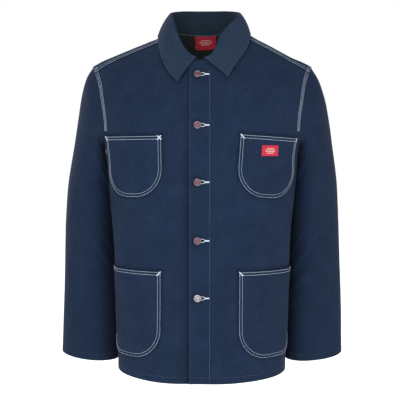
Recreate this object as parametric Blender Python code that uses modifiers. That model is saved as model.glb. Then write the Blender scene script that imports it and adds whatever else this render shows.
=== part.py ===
"""Lined denim work jacket in its worn form with nobody in it: a button front with a buttonhole
edge, a one-piece point collar, set-in sleeves and four round-bottomed patch pockets.

+Z is up, the front faces -Y and the wearer's left is +X. The origin is the middle of the neck
hole, at the height where the shoulder seams meet the neck: that is where the wearer carries it.
Sizes are in millimetres, and every mesh is written in metres.
"""

import math
from collections import namedtuple

import bmesh
import bpy
import numpy as np
from mathutils import Matrix, Vector

MM = 0.001
FRONT, BACK = -1, 1

# Cloth
DENIM_WALL = 1.5
POCKET_WALL = 1.3
COLLAR_WALL = 2.0
LINING_WALL = 1.0
LABEL_WALL = 0.8
SEAM_GAP = 0.3
LAID_GAP = 0.7  # between a panel and what lies on it

# Body: one row for each height of the horizontal section
BodyRow = namedtuple("BodyRow", "height half_width front back")
BODY = (
    BodyRow(-722, 182, 129, 113),
    BodyRow(-600, 185, 127, 110),
    BodyRow(-500, 188, 125, 108),
    BodyRow(-400, 192, 125, 108),
    BodyRow(-300, 200, 127, 114),
    BodyRow(-240, 207, 127, 119),
    BodyRow(-200, 222, 126, 121),
    BodyRow(-150, 238, 122, 120),
    BodyRow(-70, 258, 110, 115),
    BodyRow(20, 270, 98, 115),
)
SQUARENESS = 2.5  # exponent of the section: 2 is an ellipse
HEM = -720
HEM_DIP = 7.5  # the hem hangs this much lower in the middle than at the side seams
ARMPIT = -240
SHOULDER_TIP = -74
ROLL = 200  # how far below the shoulder line the cloth reaches its full depth

# Shoulder line, seen from the front, and the rise of the form behind the neck
RidgeRow = namedtuple("RidgeRow", "across height")
RIDGE = (
    RidgeRow(0, 2),
    RidgeRow(50, 2),
    RidgeRow(78, 0),
    RidgeRow(125, -23),
    RidgeRow(187, -51.5),
    RidgeRow(215, -64.5),
    RidgeRow(232, -74),
    RidgeRow(262, -96),
)
BACK_NECK_RISE = 35

# Neck hole, an oval in plan that lies on the form
NECK_HALF_WIDTH = 78
NECK_FRONT = 80
NECK_BACK = 68

# Armhole: how far out the seam runs at each height, on the front and on the back
ArmRow = namedtuple("ArmRow", "height front back")
ARMHOLE = (
    ArmRow(ARMPIT, 207, 207),
    ArmRow(-222, 204, 208),
    ArmRow(-190, 204, 211),
    ArmRow(-150, 210, 217),
    ArmRow(-110, 218, 223),
    ArmRow(SHOULDER_TIP, 232, 232),
)

# Sleeve sections: outer and inner point seen from the front, then the middle and half the depth
SleeveRow = namedtuple("SleeveRow", "out_x out_z in_x in_z middle half_depth")
SLEEVE = (
    SleeveRow(246, -97, 209, -247, 6, 68),
    SleeveRow(256.5, -130, 208, -257, 12, 71),
    SleeveRow(266, -178, 205, -274, 20, 73),
    SleeveRow(277, -238, 201, -298, 28, 73),
    SleeveRow(290, -312, 195, -344, 34, 70),
    SleeveRow(297.5, -402, 189, -416, 38, 65),
    SleeveRow(302.5, -510, 184.5, -518, 39, 58),
    SleeveRow(306, -610, 182.5, -618, 34, 50),
    SleeveRow(308, -694, 183, -708, 28, 43),
)
ROUND_ROW = 5  # from this row on the sleeve is an oval, and above it nears the armhole's shape
CUFF_FRONT_DROP = 6  # the cuff hangs this much lower in front and higher behind

# Lining of the back: how far inside the denim it hangs, and how far from the denim's edges it ends
LINING_SEAM_GAP = 0.5  # at the back of the neck, where it is sewn in
LINING_GAP = 1.5
LINING_HEM = 26
LINING_EDGE = 0.05  # of the way round to the side
LINING_ROLL = 0.12

# Front edges: the buttonhole edge laps over the button edge
BUTTONHOLE_EDGE = 27  # past the centre line
BUTTON_EDGE = 17
LAP_RAISE = 1.3  # the upper front stands this much proud of the form at the lap
LAP_SINK = 1.0  # and the lower front lies this much under it
LAP_FLAT, LAP_FADE = 30, 60  # width of the lap, and how far it takes to fade away

# Collar: round the neck from the middle of the back (0 degrees) to its front ends
CollarRow = namedtuple("CollarRow", "angle stand lean edge_x edge_y edge_z")
COLLAR = (
    CollarRow(0, 49, 0.16, 0, 84, -6),
    CollarRow(30, 47, 0.12, 49, 73, -7),
    CollarRow(60, 42, -0.03, 81, 42, -8),
    CollarRow(90, 36, -0.22, 91, 4, -8),
    CollarRow(105, 35, -0.22, 91, -26, -16),
    CollarRow(120, 34, -0.16, 89, -49, -32),
    CollarRow(135, 30, -0.04, 84, -70, -50),
    CollarRow(150, 18, 0.15, 74, -84, -68),
    CollarRow(165, 7, 0.4, 62, -96, -87),
    CollarRow(177, 3, 0.5, 52, -104, -105),
)
COLLAR_END = 177
COLLAR_SHIFT = 7  # the collar's fold and its leaf sit this much to the wearer's left
LEFT_RISE = 6  # the wearer's left leaf ends this much higher than the right one
FOLD_RADIUS = 3.2
FOLD_SWEEP = math.radians(150)
LEAF_CLEAR = 4.0  # from the form to the middle of the leaf's wall, at the least
LEAF_CROWN = 5.0  # how much the leaf bellies out between fold and edge

# Pockets: distances are round the body from the centre line, and down from the neck point
Pocket = namedtuple("Pocket", "name side inner top width height radius slant")
POCKETS = (
    Pocket("pocket_chest_left", 1, 77, -213, 138, 128, 60, -4.0),
    Pocket("pocket_chest_right", -1, 82, -216, 138, 127, 60, -1.0),
    Pocket("pocket_hip_left", 1, 75, -495, 160, 184, 62, -0.4),
    Pocket("pocket_hip_right", -1, 84, -494.5, 153, 184, 62, 0.2),
)

# Buttons: on the button line, one height each
BUTTON_LINE = -9.5  # across, from the centre line
BUTTON_HEIGHTS = (-93, -195.5, -311, -430.5, -549)
BUTTON_RADIUS = 8.5
SHANK_RADIUS = 2.2
BUTTONHOLE_END = 17  # across, where the slit ends
BUTTONHOLE_EYE = 3.0
BUTTONHOLE_SLIT = 1.8

# Labels, both bare
NECK_LABEL_COLUMNS = (-0.37, 0.8)  # its sides and its ends, in steps of the lining's facets
NECK_LABEL_ROWS = (0.0, 1.3)
POCKET_LABEL = (39, 22)
POCKET_LABEL_PLACE = (67, 20)  # along the pocket's top edge to its middle, and down from it

# Facets
BODY_COLUMNS = 14
NECK_COLUMNS = 5
BACK_COLUMNS = 12
BACK_NECK_COLUMNS = 3
LOW_ROWS = 9
HIGH_ROWS = 11
SLEEVE_ROWS = 17
COLLAR_COLUMNS = 30
STAND_STEPS, FOLD_STEPS, LEAF_STEPS = 3, 4, 5
LINING_ROWS = 6


# ---------------------------------------------------------------- curves and vectors


def column(rows, name):
    """One named column of a table as an array."""
    return np.array([getattr(row, name) for row in rows], float)


def smooth(at, places, values):
    """A smooth curve through the values at the rising places, read at some places."""
    at = np.clip(at, places[0], places[-1])
    slopes = np.gradient(values, places, axis=0)
    i = np.clip(np.searchsorted(places, at, side="right") - 1, 0, len(places) - 2)
    step = places[i + 1] - places[i]
    t = (at - places[i]) / step
    if values.ndim > 1:
        t = t.reshape(t.shape + (1,) * (values.ndim - 1))
        step = step.reshape(t.shape)
    rise = t * t * (3 - 2 * t)
    leave = step * t * (1 - t) ** 2
    arrive = step * t * t * (t - 1)
    return (
        values[i] * (1 - rise) + values[i + 1] * rise + slopes[i] * leave + slopes[i + 1] * arrive
    )


def ease(t):
    """Goes from 0 to 1 with no kink at either end."""
    t = np.clip(t, 0, 1)
    return t * t * (3 - 2 * t)


def unit(vectors):
    """The vectors at length 1."""
    return vectors / np.maximum(np.linalg.norm(vectors, axis=-1, keepdims=True), 1e-9)


# ---------------------------------------------------------------- the body's form


def half_width(height):
    """Half the width of the body's section at a height."""
    return smooth(height, column(BODY, "height"), column(BODY, "half_width"))


def ridge(across, side):
    """Height of the shoulder line at a distance from the centre line."""
    across = np.abs(across)
    height = smooth(across, column(RIDGE, "across"), column(RIDGE, "height"))
    if side == BACK:
        height = height + BACK_NECK_RISE * np.clip(1 - (across / NECK_HALF_WIDTH) ** 2, 0, 1)
    return height


def depth(across, height, side):
    """How far the form stands in front of or behind the side seams."""
    full = smooth(height, column(BODY, "height"), column(BODY, "front" if side == FRONT else "back"))
    drop = np.clip((ridge(across, side) - height) / ROLL, 0, 1)
    out = np.clip(np.abs(across) / half_width(height), 0, 1)
    return full * np.sqrt(drop * (2 - drop)) * (1 - out**SQUARENESS) ** (1 / SQUARENESS)


def drop_of(roll):
    """Distance below the shoulder line for a roll, the angle through which the cloth has turned."""
    return ROLL * np.where(roll < math.pi / 2, 1 - np.cos(roll), 1 + roll - math.pi / 2)


def roll_of(drop):
    """The roll at a distance below the shoulder line."""
    q = np.maximum(drop, 0) / ROLL
    return np.where(q < 1, np.arccos(1 - np.minimum(q, 1)), math.pi / 2 + q - 1)


def form_place(across, height, side):
    """(turn, roll) of a place on the form. The turn is 0 in the middle and 90 degrees at the side."""
    turn = np.arcsin(np.clip(across / half_width(height), -1, 1))
    return np.stack([turn, roll_of(ridge(across, side) - height)], axis=-1)


def form_points(places, side):
    """Points of the form at (turn, roll) places."""
    turn, roll = places[..., 0], places[..., 1]
    height = ridge(0.0, side) - drop_of(roll)
    for _ in range(30):
        across = half_width(height) * np.sin(turn)
        height = ridge(across, side) - drop_of(roll)
    return np.stack([across, side * depth(across, height, side), height], axis=-1)


def form_normals(places, side):
    """Outward normals of the form at (turn, roll) places."""
    near = 0.004
    inside = np.stack(
        [
            np.clip(places[..., 0], near - math.pi / 2, math.pi / 2 - near),
            np.maximum(places[..., 1], 2 * near),
        ],
        axis=-1,
    )
    around, down = np.array([near / 2, 0]), np.array([0, near / 2])
    along = form_points(inside + around, side) - form_points(inside - around, side)
    below = form_points(inside + down, side) - form_points(inside - down, side)
    return unit(np.cross(below, along) * -side)


def nearest_place(points, side):
    """(turn, roll) places of the form that lie nearest to the points."""
    high = ridge(points[..., 0], side) - 0.5
    places = form_place(points[..., 0], np.minimum(points[..., 2], high), side)
    around, down = np.array([0.002, 0]), np.array([0, 0.002])
    for _ in range(25):
        here = form_points(places, side)
        along = (form_points(places + around, side) - form_points(places - around, side)) / 0.004
        below = (form_points(places + down, side) - form_points(places - down, side)) / 0.004
        short = points - here
        aa, ab, bb = (along * along).sum(-1), (along * below).sum(-1), (below * below).sum(-1)
        ca, cb = (short * along).sum(-1), (short * below).sum(-1)
        whole = np.maximum(aa * bb - ab * ab, 1e-6)
        step = np.stack([(ca * bb - cb * ab) / whole, (cb * aa - ca * ab) / whole], axis=-1)
        places = places + np.clip(step, -0.1, 0.1)
        places[..., 0] = np.clip(places[..., 0], -1.5, 1.5)
        places[..., 1] = np.maximum(places[..., 1], 0.01)
    return places


def settle(points, side, clear):
    """The points, moved out where they are nearer to the form than they may be."""
    places = nearest_place(points, side)
    normals = form_normals(places, side)
    off = ((points - form_points(places, side)) * normals).sum(axis=-1)
    return points + normals * np.maximum(clear - off, 0)[..., None]


def neck_point(angle):
    """Point of the neckline at an angle round the neck from the middle of the back, in radians."""
    across = NECK_HALF_WIDTH * np.sin(angle)
    behind = np.cos(angle) > 0
    height = np.zeros_like(across)
    out = np.where(behind, NECK_BACK, NECK_FRONT) * np.abs(np.cos(angle))
    for _ in range(40):
        for side, here in ((FRONT, ~behind), (BACK, behind)):
            drop = np.clip((ridge(across, side) - height) / ROLL, 1e-6, 1)
            full = depth(across, height, side) / np.sqrt(drop * (2 - drop))
            share = np.clip(out / np.maximum(full, 1e-6), 0, 0.999)
            found = ridge(across, side) - ROLL * (1 - np.sqrt(1 - share**2))
            height = np.where(here, 0.5 * height + 0.5 * found, height)
    return np.stack([across, np.where(behind, out, -out), height], axis=-1)


# ---------------------------------------------------------------- sleeves and the armhole


def armhole_ring():
    """The armhole seam of the wearer's left: from the shoulder tip down the front and up the back."""
    count = 2 * HIGH_ROWS
    angles = 2 * math.pi * np.arange(count) / count
    middle, half = (SHOULDER_TIP + ARMPIT) / 2, (SHOULDER_TIP - ARMPIT) / 2
    height = middle + half * np.cos(angles)
    heights = column(ARMHOLE, "height")
    rings = []
    for side, name in ((FRONT, "front"), (BACK, "back")):
        across = smooth(height, heights, column(ARMHOLE, name))
        rings.append(np.stack([across, side * depth(across, height, side), height], axis=-1))
    ring = np.where((angles <= math.pi)[:, None], rings[0], rings[1])
    ring[0, 1] = ring[HIGH_ROWS, 1] = 0
    return ring


def sleeve_sections():
    """The armhole and the sleeve's own sections, as rings that start at the outer point."""
    count = 2 * HIGH_ROWS
    angles = 2 * math.pi * np.arange(count) / count
    rings = [armhole_ring()]
    seam_shape = -rings[0][:, 1] / np.abs(rings[0][:, 1]).max()
    for number, row in enumerate(SLEEVE, 1):
        outer = np.array([row.out_x, row.middle, row.out_z])
        inner = np.array([row.in_x, row.middle, row.in_z])
        ring = (outer + inner) / 2 + np.outer(np.cos(angles), (outer - inner) / 2)
        oval = min(number / ROUND_ROW, 1)
        ring[:, 1] -= row.half_depth * (oval * np.sin(angles) + (1 - oval) * seam_shape)
        rings.append(ring)
    rings[-1][:, 2] -= CUFF_FRONT_DROP * np.sin(angles)
    return np.array(rings)


def ring_normals(grid):
    """Outward normals of a tube given as rings."""
    around = np.roll(grid, -1, axis=1) - np.roll(grid, 1, axis=1)
    down = np.gradient(grid, axis=0)
    return unit(np.cross(around, down))


def sleeve_grid():
    """The sleeve's outer points, and their normals. The first ring is the armhole seam."""
    sections = sleeve_sections()
    steps = np.linalg.norm(np.diff(sections, axis=0), axis=2).mean(axis=1)
    places = np.concatenate([[0], np.cumsum(steps)])
    at = places[-1] * np.linspace(0, 1, SLEEVE_ROWS + 1) ** 1.15
    grid = smooth(at, places, sections)
    return grid, ring_normals(grid)


def seam_normals(ring, sleeve_side):
    """Normals at the armhole seam, halfway between the body's and the sleeve's."""
    body = np.empty_like(ring)
    for index, point in enumerate(ring):
        side = FRONT if index <= HIGH_ROWS else BACK
        body[index] = form_normals(form_place(point[0], point[2], side), side)
    return unit(body + sleeve_side)


# ---------------------------------------------------------------- meshes


def clear_scene():
    """Removes what the scene holds."""
    for thing in list(bpy.data.objects):
        bpy.data.objects.remove(thing, do_unlink=True)


def collection(name):
    """A new collection in the scene."""
    made = bpy.data.collections.new(name)
    bpy.context.scene.collection.children.link(made)
    return made


def finish(name, colour, roughness, metallic=0.0):
    """A plain finish."""
    made = bpy.data.materials.new(name)
    made.use_nodes = True
    shader = made.node_tree.nodes["Principled BSDF"]
    shader.inputs["Base Color"].default_value = (*colour, 1)
    shader.inputs["Roughness"].default_value = roughness
    shader.inputs["Metallic"].default_value = metallic
    return made


def add_object(name, mesh, material, group):
    """Links a mesh to the group as a named object with its finish."""
    thing = bpy.data.objects.new(name, mesh)
    if material:
        mesh.materials.append(material)
    group.objects.link(thing)
    return thing


def proud_splits(outer, inner, columns, tube):
    """For each four-sided facet, whether its first diagonal lies further out than its second."""
    across = np.arange(columns if tube else columns - 1)
    k = (across + 1) % columns
    first = outer[:-1, across] + outer[1:, k]
    second = outer[:-1, k] + outer[1:, across]
    out = (outer - inner)[:-1, across]
    return ((first - second) * out).sum(axis=-1) >= 0


def split(corners, first):
    """The two triangles of a facet."""
    a, b, c, d = corners
    return ((a, b, c), (a, c, d)) if first else ((a, b, d), (b, c, d))


def wall(name, outer, inner, material, group, tube=False):
    """A cloth wall lofted between a grid of outer points and a grid of inner points."""
    rows, columns = outer.shape[:2]
    splits = proud_splits(outer, inner, columns, tube)
    body = bmesh.new()
    layers = [
        [[body.verts.new(Vector(point) * MM) for point in row] for row in grid]
        for grid in (outer, inner)
    ]
    across = range(columns if tube else columns - 1)
    for layer, turned in ((layers[0], False), (layers[1], True)):
        for j in range(rows - 1):
            for i in across:
                k = (i + 1) % columns
                corners = (layer[j][i], layer[j][k], layer[j + 1][k], layer[j + 1][i])
                for triangle in split(corners, splits[j, i]):
                    body.faces.new(triangle[::-1] if turned else triangle)
    for j in (0, rows - 1):
        for i in across:
            k = (i + 1) % columns
            body.faces.new([layers[0][j][i], layers[0][j][k], layers[1][j][k], layers[1][j][i]])
    for i in () if tube else (0, columns - 1):
        for j in range(rows - 1):
            corners = [layers[0][j][i], layers[0][j + 1][i], layers[1][j + 1][i], layers[1][j][i]]
            body.faces.new(corners)
    bmesh.ops.recalc_face_normals(body, faces=body.faces)
    mesh = bpy.data.meshes.new(name)
    body.to_mesh(mesh)
    body.free()
    mesh.shade_smooth()
    mesh.set_sharp_from_angle(angle=math.radians(50))
    return add_object(name, mesh, material, group)


# ---------------------------------------------------------------- fronts, back and lining


def patch(bottom, top, inner, outer):
    """Places over a four-sided region, from the places along its four sides."""
    u = np.linspace(0, 1, len(bottom))[None, :, None]
    v = np.linspace(0, 1, len(inner))[:, None, None]
    rows = (1 - v) * bottom[None] + v * top[None]
    columns = (1 - u) * inner[:, None] + u * outer[:, None]
    corners = (1 - v) * ((1 - u) * bottom[0] + u * bottom[-1]) + v * (
        (1 - u) * top[0] + u * top[-1]
    )
    return rows + columns - corners


def panel_places(side, edge, top_neck, columns, low_rows=LOW_ROWS, hem=HEM):
    """(turn, roll) places of half a body panel, from its inner edge out and from the hem up."""
    low = []
    for share in np.linspace(1, 0, low_rows + 1) ** 1.5:
        height = ARMPIT + share * (hem - ARMPIT)
        start = math.asin(edge / half_width(height))
        turns = np.linspace(start, math.pi / 2, columns + 1)
        heights = height - HEM_DIP * share * np.cos(turns) ** 2
        low.append(form_place(half_width(heights) * np.sin(turns), heights, side))
    low = np.array(low)
    low[:, -1, 0] = math.pi / 2
    shoulder = np.linspace(NECK_HALF_WIDTH, ARMHOLE[-1].front, columns + 2 - len(top_neck))[1:]
    across = np.concatenate([top_neck[:, 0], shoulder])
    height = np.concatenate([top_neck[:, 2], ridge(shoulder, side)])
    top = form_place(across, height, side)
    seam = armhole_ring()
    seam = seam[HIGH_ROWS::-1] if side == FRONT else np.roll(seam, -HIGH_ROWS, axis=0)
    outer = form_place(seam[: HIGH_ROWS + 1, 0], seam[: HIGH_ROWS + 1, 2], side)
    if side == BACK:
        outer = np.concatenate([outer[:HIGH_ROWS], top[-1:]])
    outer[0], outer[-1] = low[-1, -1], top[-1]
    heights = np.linspace(ARMPIT, height[0], HIGH_ROWS + 1)
    inner = form_place(np.full_like(heights, across[0]), heights, side)
    inner[0], inner[-1] = low[-1, 0], top[0]
    inner[1:-1, 0] = np.arcsin(
        np.linspace(edge, across[0], HIGH_ROWS + 1)[1:-1] / half_width(heights[1:-1])
    )
    return np.concatenate([low, patch(low[-1], top, inner, outer)[1:]])


def lap(across, amount):
    """How far a front is raised or sunk where the two lap, by distance from the centre line."""
    return amount * (1 - ease((across - LAP_FLAT) / LAP_FADE))


def panel_layers(places, side, lift, wall_thickness, armhole=True, low_rows=LOW_ROWS):
    """Outer and inner points of a body panel on the wearer's left."""
    points = form_points(places, side)
    normals = form_normals(places, side)
    points[..., 1] = side * np.maximum(side * points[..., 1], SEAM_GAP / 2)
    outer = points + normals * lift(points[..., 0])[..., None]
    into = normals.copy()
    if armhole:
        grid, sleeve_normals = sleeve_grid()
        halfway = seam_normals(grid[0], sleeve_normals[0])
        order = np.arange(HIGH_ROWS, -1, -1) if side == FRONT else np.arange(HIGH_ROWS, 2 * HIGH_ROWS + 1)
        into[low_rows:, -1] = halfway[order % (2 * HIGH_ROWS)]
    inner = outer - into * wall_thickness
    inner[..., 1] = np.where(
        side * inner[..., 1] < SEAM_GAP / 2, side * SEAM_GAP / 2, inner[..., 1]
    )
    return outer, inner


def front_neck(edge):
    """Neckline of a front, from its edge past the centre line round to the shoulder."""
    angles = np.radians(np.linspace(178, 90, NECK_COLUMNS))
    line = neck_point(angles)
    corner = np.array([[edge, line[0, 1], line[0, 2] - 4.5]])
    return np.concatenate([corner, line])


def front_panel(name, flip, past_centre, raise_by, material, group):
    """One front. The right one is the left one's shape turned over, with its own edge."""
    places = panel_places(FRONT, -past_centre, front_neck(-past_centre), BODY_COLUMNS)
    outer, inner = panel_layers(places, FRONT, lambda x: lap(x, raise_by), DENIM_WALL)
    return wall(name, outer * flip, inner * flip, material, group)


def whole(half):
    """A panel's other half added across the centre line."""
    return np.concatenate([half[:, :0:-1] * np.array([-1, 1, 1]), half], axis=1)


def back_panel(material, group):
    """The one-piece back."""
    neck = neck_point(np.radians(np.linspace(0, 90, BACK_NECK_COLUMNS + 1)))
    places = panel_places(BACK, 0, neck, BACK_COLUMNS)
    outer, inner = panel_layers(places, BACK, lambda x: 0 * x, DENIM_WALL)
    return wall("back", whole(outer), whole(inner), material, group)


def lining_layers():
    """Outer and inner points of half the back's lining, inside the back and clear of its seams."""
    neck = neck_point(np.radians(np.linspace(0, 90, BACK_NECK_COLUMNS + 1)))
    places = panel_places(BACK, 0, neck, BACK_COLUMNS, LINING_ROWS, HEM + LINING_HEM)
    places[..., 0] *= 1 - LINING_EDGE * (places[..., 0] * 2 / math.pi) ** 4
    places[..., 1] = np.maximum(places[..., 1], LINING_ROLL)
    points, normals = form_points(places, BACK), form_normals(places, BACK)
    above = (np.arange(len(places)) - LINING_ROWS) / (HIGH_ROWS - 3)
    aside = (np.arange(BACK_COLUMNS + 1) - 1) / (BACK_NECK_COLUMNS - 1)
    near_seam = ease(above)[:, None] * (1 - ease(aside))[None, :]
    gap = LINING_GAP + (LINING_SEAM_GAP - LINING_GAP) * near_seam
    outer = points - normals * (DENIM_WALL + gap[..., None])
    return outer, outer - normals * LINING_WALL


def lining(material, group):
    """The back's lining, which shows through the neck."""
    outer, inner = lining_layers()
    return wall("lining_back", whole(outer), whole(inner), material, group)


# ---------------------------------------------------------------- sleeves


def sleeve(name, flip, material, group):
    """A sleeve from the armhole seam to the cuff."""
    grid, normals = sleeve_grid()
    halfway = seam_normals(grid[0], normals[0])
    around = np.roll(grid[0], -1, axis=0) - np.roll(grid[0], 1, axis=0)
    away = unit(np.cross(halfway, around))
    towards_cuff = grid[1].mean(axis=0) - grid[0].mean(axis=0)
    away *= np.sign(away @ towards_cuff)[:, None]
    outer = grid.copy()
    outer[0] += away * SEAM_GAP
    into = normals.copy()
    into[0] = halfway
    inner = outer - into * DENIM_WALL
    return wall(name, outer * flip, inner * flip, material, group, tube=True)


# ---------------------------------------------------------------- collar


def collar_middle():
    """Middle surface of the collar's wall: one row for each step round the neck."""
    angles = np.linspace(-COLLAR_END, COLLAR_END, COLLAR_COLUMNS + 1)
    stations = column(COLLAR, "angle")
    read = {
        name: smooth(np.abs(angles), stations, column(COLLAR, name))
        for name in CollarRow._fields[1:]
    }
    hand = np.sign(angles)
    base = neck_point(np.radians(angles))
    side = np.where(np.abs(angles) < 90, BACK, FRONT)
    rows = []
    for i, angle in enumerate(np.radians(angles)):
        lift = form_normals(form_place(base[i, 0], base[i, 2], side[i]), side[i])
        raised = lap(abs(base[i, 0]), LAP_RAISE) if side[i] == FRONT else 0
        foot = base[i] + lift * (COLLAR_WALL / 2 + 2 * SEAM_GAP + raised)
        outward = unit(
            np.array([math.sin(angle) / NECK_HALF_WIDTH, math.cos(angle) / NECK_FRONT, 0.0])
        )
        up = unit(np.array([0, 0, 1.0]) + read["lean"][i] * outward)
        fold = foot + read["stand"][i] * up
        edge = np.array([hand[i] * read["edge_x"][i], read["edge_y"][i], read["edge_z"][i]])
        high = 1 - ease((abs(angles[i]) - 110) / 60)
        fold[0] += COLLAR_SHIFT * high
        edge[0] += COLLAR_SHIFT * high
        edge[2] += LEFT_RISE * ease((angles[i] - 100) / 40)
        clear = LEAF_CLEAR + raised
        edge = settle(edge[None], side[i], clear)[0]
        section = collar_section(foot, fold, edge, up)
        leaf = slice(-LEAF_STEPS, None)
        section[leaf] = settle(section[leaf], side[i], clear)
        rows.append(section)
    return np.array(rows)


def collar_section(foot, fold, edge, up):
    """One section of the collar: the stand, the fold and the leaf."""
    outward = edge - foot
    outward = unit(outward - up * (outward @ up))
    radius = min(FOLD_RADIUS, 0.5 * np.linalg.norm(fold - foot) + 1.2)
    top = fold - radius * up
    stand = [foot + (top - foot) * s for s in np.linspace(0, 1, STAND_STEPS + 1)[:-1]]
    centre = top + radius * outward
    bends = np.linspace(0, FOLD_SWEEP, FOLD_STEPS + 1)
    turned = [centre + radius * (up * math.sin(b) - outward * math.cos(b)) for b in bends]
    leave = outward * math.sin(FOLD_SWEEP) + up * math.cos(FOLD_SWEEP)
    start, span = turned[-1], np.linalg.norm(edge - turned[-1])
    belly = unit(np.cross(np.cross(edge - start, up), edge - start))
    belly *= np.sign(belly @ outward)
    leaf = []
    for s in np.linspace(0, 1, LEAF_STEPS + 1)[1:]:
        straight = start + (edge - start) * s
        leaf.append(
            straight + belly * LEAF_CROWN * 4 * s * (1 - s) * 0.5 + leave * span * 0.12 * s * (1 - s) ** 2
        )
    return np.array(stand + turned + leaf)


def collar(material, group):
    """The collar, one wall that stands up from the neckline and folds over."""
    middle = collar_middle()
    round_it = np.gradient(middle, axis=0)
    down_it = np.gradient(middle, axis=1)
    normals = unit(np.cross(round_it, down_it))
    half = normals * COLLAR_WALL / 2
    return wall("collar", middle + half, middle - half, material, group)


# ---------------------------------------------------------------- what lies on the fronts


def front_place(girth, height):
    """(turn, roll) places on the front at distances round the body from the centre line."""
    places = np.empty(girth.shape + (2,))
    turns = np.linspace(0, math.pi / 2, 181)
    for index in np.ndindex(girth.shape):
        level = height[index]
        across = half_width(level) * np.sin(turns)
        out = depth(across, np.full_like(across, level), FRONT)
        steps = np.hypot(np.diff(across), np.diff(out))
        reach = np.concatenate([[0], np.cumsum(steps)])
        found = np.interp(abs(girth[index]), reach, across) * np.sign(girth[index])
        places[index] = form_place(found, level, FRONT)
    return places


def pocket_place(pocket, along, down):
    """Place on the front of a point of a pocket: along its top edge from its inner corner, and down."""
    slant = math.radians(pocket.slant)
    girth = pocket.inner + along * math.cos(slant) + down * math.sin(slant)
    height = pocket.top + along * math.sin(slant) - down * math.cos(slant)
    return front_place(girth, height)


def pocket_layers(pocket, columns=11, straight_rows=4, round_rows=6):
    """Outer and inner points of a patch pocket, made from the front's own points moved out."""
    straight = pocket.height - pocket.radius
    turns = np.linspace(0, math.pi / 2, round_rows + 1)[1:]
    down = np.concatenate(
        [np.linspace(0, straight, straight_rows + 1), straight + pocket.radius * np.sin(turns)]
    )
    half = np.concatenate(
        [
            np.full(straight_rows + 1, pocket.width / 2),
            pocket.width / 2 - pocket.radius * (1 - np.cos(turns)),
        ]
    )
    along = pocket.width / 2 + half[:, None] * np.linspace(-1, 1, columns + 1)[None, :]
    places = pocket_place(pocket, along, np.repeat(down[:, None], columns + 1, axis=1))
    return laid_on_front(places, LAID_GAP, POCKET_WALL)


def laid_on_front(places, gap, thickness):
    """Outer and inner points of a piece that lies on a front at a gap."""
    points, normals = form_points(places, FRONT), form_normals(places, FRONT)
    return points + normals * (gap + thickness), points + normals * gap


def patch_pocket(pocket, material, group):
    """One patch pocket."""
    outer, inner = pocket_layers(pocket)
    flip = np.array([pocket.side, 1, 1])
    return wall(pocket.name, outer * flip, inner * flip, material, group)


def pocket_label(pocket, material, group):
    """The bare label on a chest pocket."""
    width, height = POCKET_LABEL
    middle, top = POCKET_LABEL_PLACE
    along, down = np.meshgrid(
        middle + width * np.linspace(-0.5, 0.5, 5), top + height * np.linspace(0, 1, 3)
    )
    places = pocket_place(pocket, along, down)
    outer, inner = laid_on_front(places, 2 * LAID_GAP + POCKET_WALL, LABEL_WALL)
    return wall("label_pocket", outer, inner, material, group)


def between(grid, rows, columns):
    """Points of a grid at fractions of its rows and columns."""
    i, j = np.floor(rows).astype(int), np.floor(columns).astype(int)
    v, u = (rows - i)[..., None], (columns - j)[..., None]
    low = grid[i, j] * (1 - u) + grid[i, j + 1] * u
    high = grid[i + 1, j] * (1 - u) + grid[i + 1, j + 1] * u
    return low * (1 - v) + high * v


def neck_label(material, group):
    """The bare label inside the back of the neck, hanging over the lining from the seam."""
    grid = whole(lining_layers()[1])[::-1]
    columns, rows = np.meshgrid(
        BACK_COLUMNS + np.linspace(*NECK_LABEL_COLUMNS, 6), np.linspace(*NECK_LABEL_ROWS, 5)
    )
    points = between(grid, rows, columns)
    inward = unit(np.cross(np.gradient(points, axis=0), np.gradient(points, axis=1)))
    inward *= -np.sign(inward[..., 1:2])
    outer = points + inward * LAID_GAP
    return wall("label_neck", outer, outer + inward * LABEL_WALL, material, group)


# ---------------------------------------------------------------- buttons and buttonholes


def button_frame(height):
    """Matrix with its origin on the form at a button, Z out of the cloth and X across the front."""
    place = form_place(np.array([BUTTON_LINE]), np.array([float(height)]), FRONT)
    point, normal = form_points(place, FRONT)[0], form_normals(place, FRONT)[0]
    out = Vector(normal)
    across = (Vector((1, 0, 0)) - out * out.x).normalized()
    turn = Matrix((across, out.cross(across), out)).transposed().to_4x4()
    return Matrix.Translation(Vector(point) * MM) @ turn


def button(number, height, material, group):
    """A tack button: a turned cap on a shank that passes through the buttonhole."""
    foot = -LAP_SINK + SEAM_GAP
    under = LAP_RAISE + 0.4
    profile = (
        (0, under + 2.0),
        (4.4, under + 1.9),
        (5.6, under + 2.5),
        (7.6, under + 2.2),
        (BUTTON_RADIUS, under + 1.1),
        (BUTTON_RADIUS - 0.6, under),
        (SHANK_RADIUS, under),
        (SHANK_RADIUS, foot),
        (0, foot),
    )
    mesh = bpy.data.meshes.new(f"button_{number}")
    points = [(r * MM, 0, z * MM) for r, z in profile]
    mesh.from_pydata(points, [(i, i + 1) for i in range(len(points) - 1)], [])
    thing = add_object(f"button_{number}", mesh, material, group)
    turned = thing.modifiers.new("turned", "SCREW")
    turned.steps = turned.render_steps = 14
    turned.use_merge_vertices = True
    turned.merge_threshold = 0.00001
    turned.use_smooth_shade = True
    thing.matrix_world = button_frame(height)
    return thing


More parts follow.
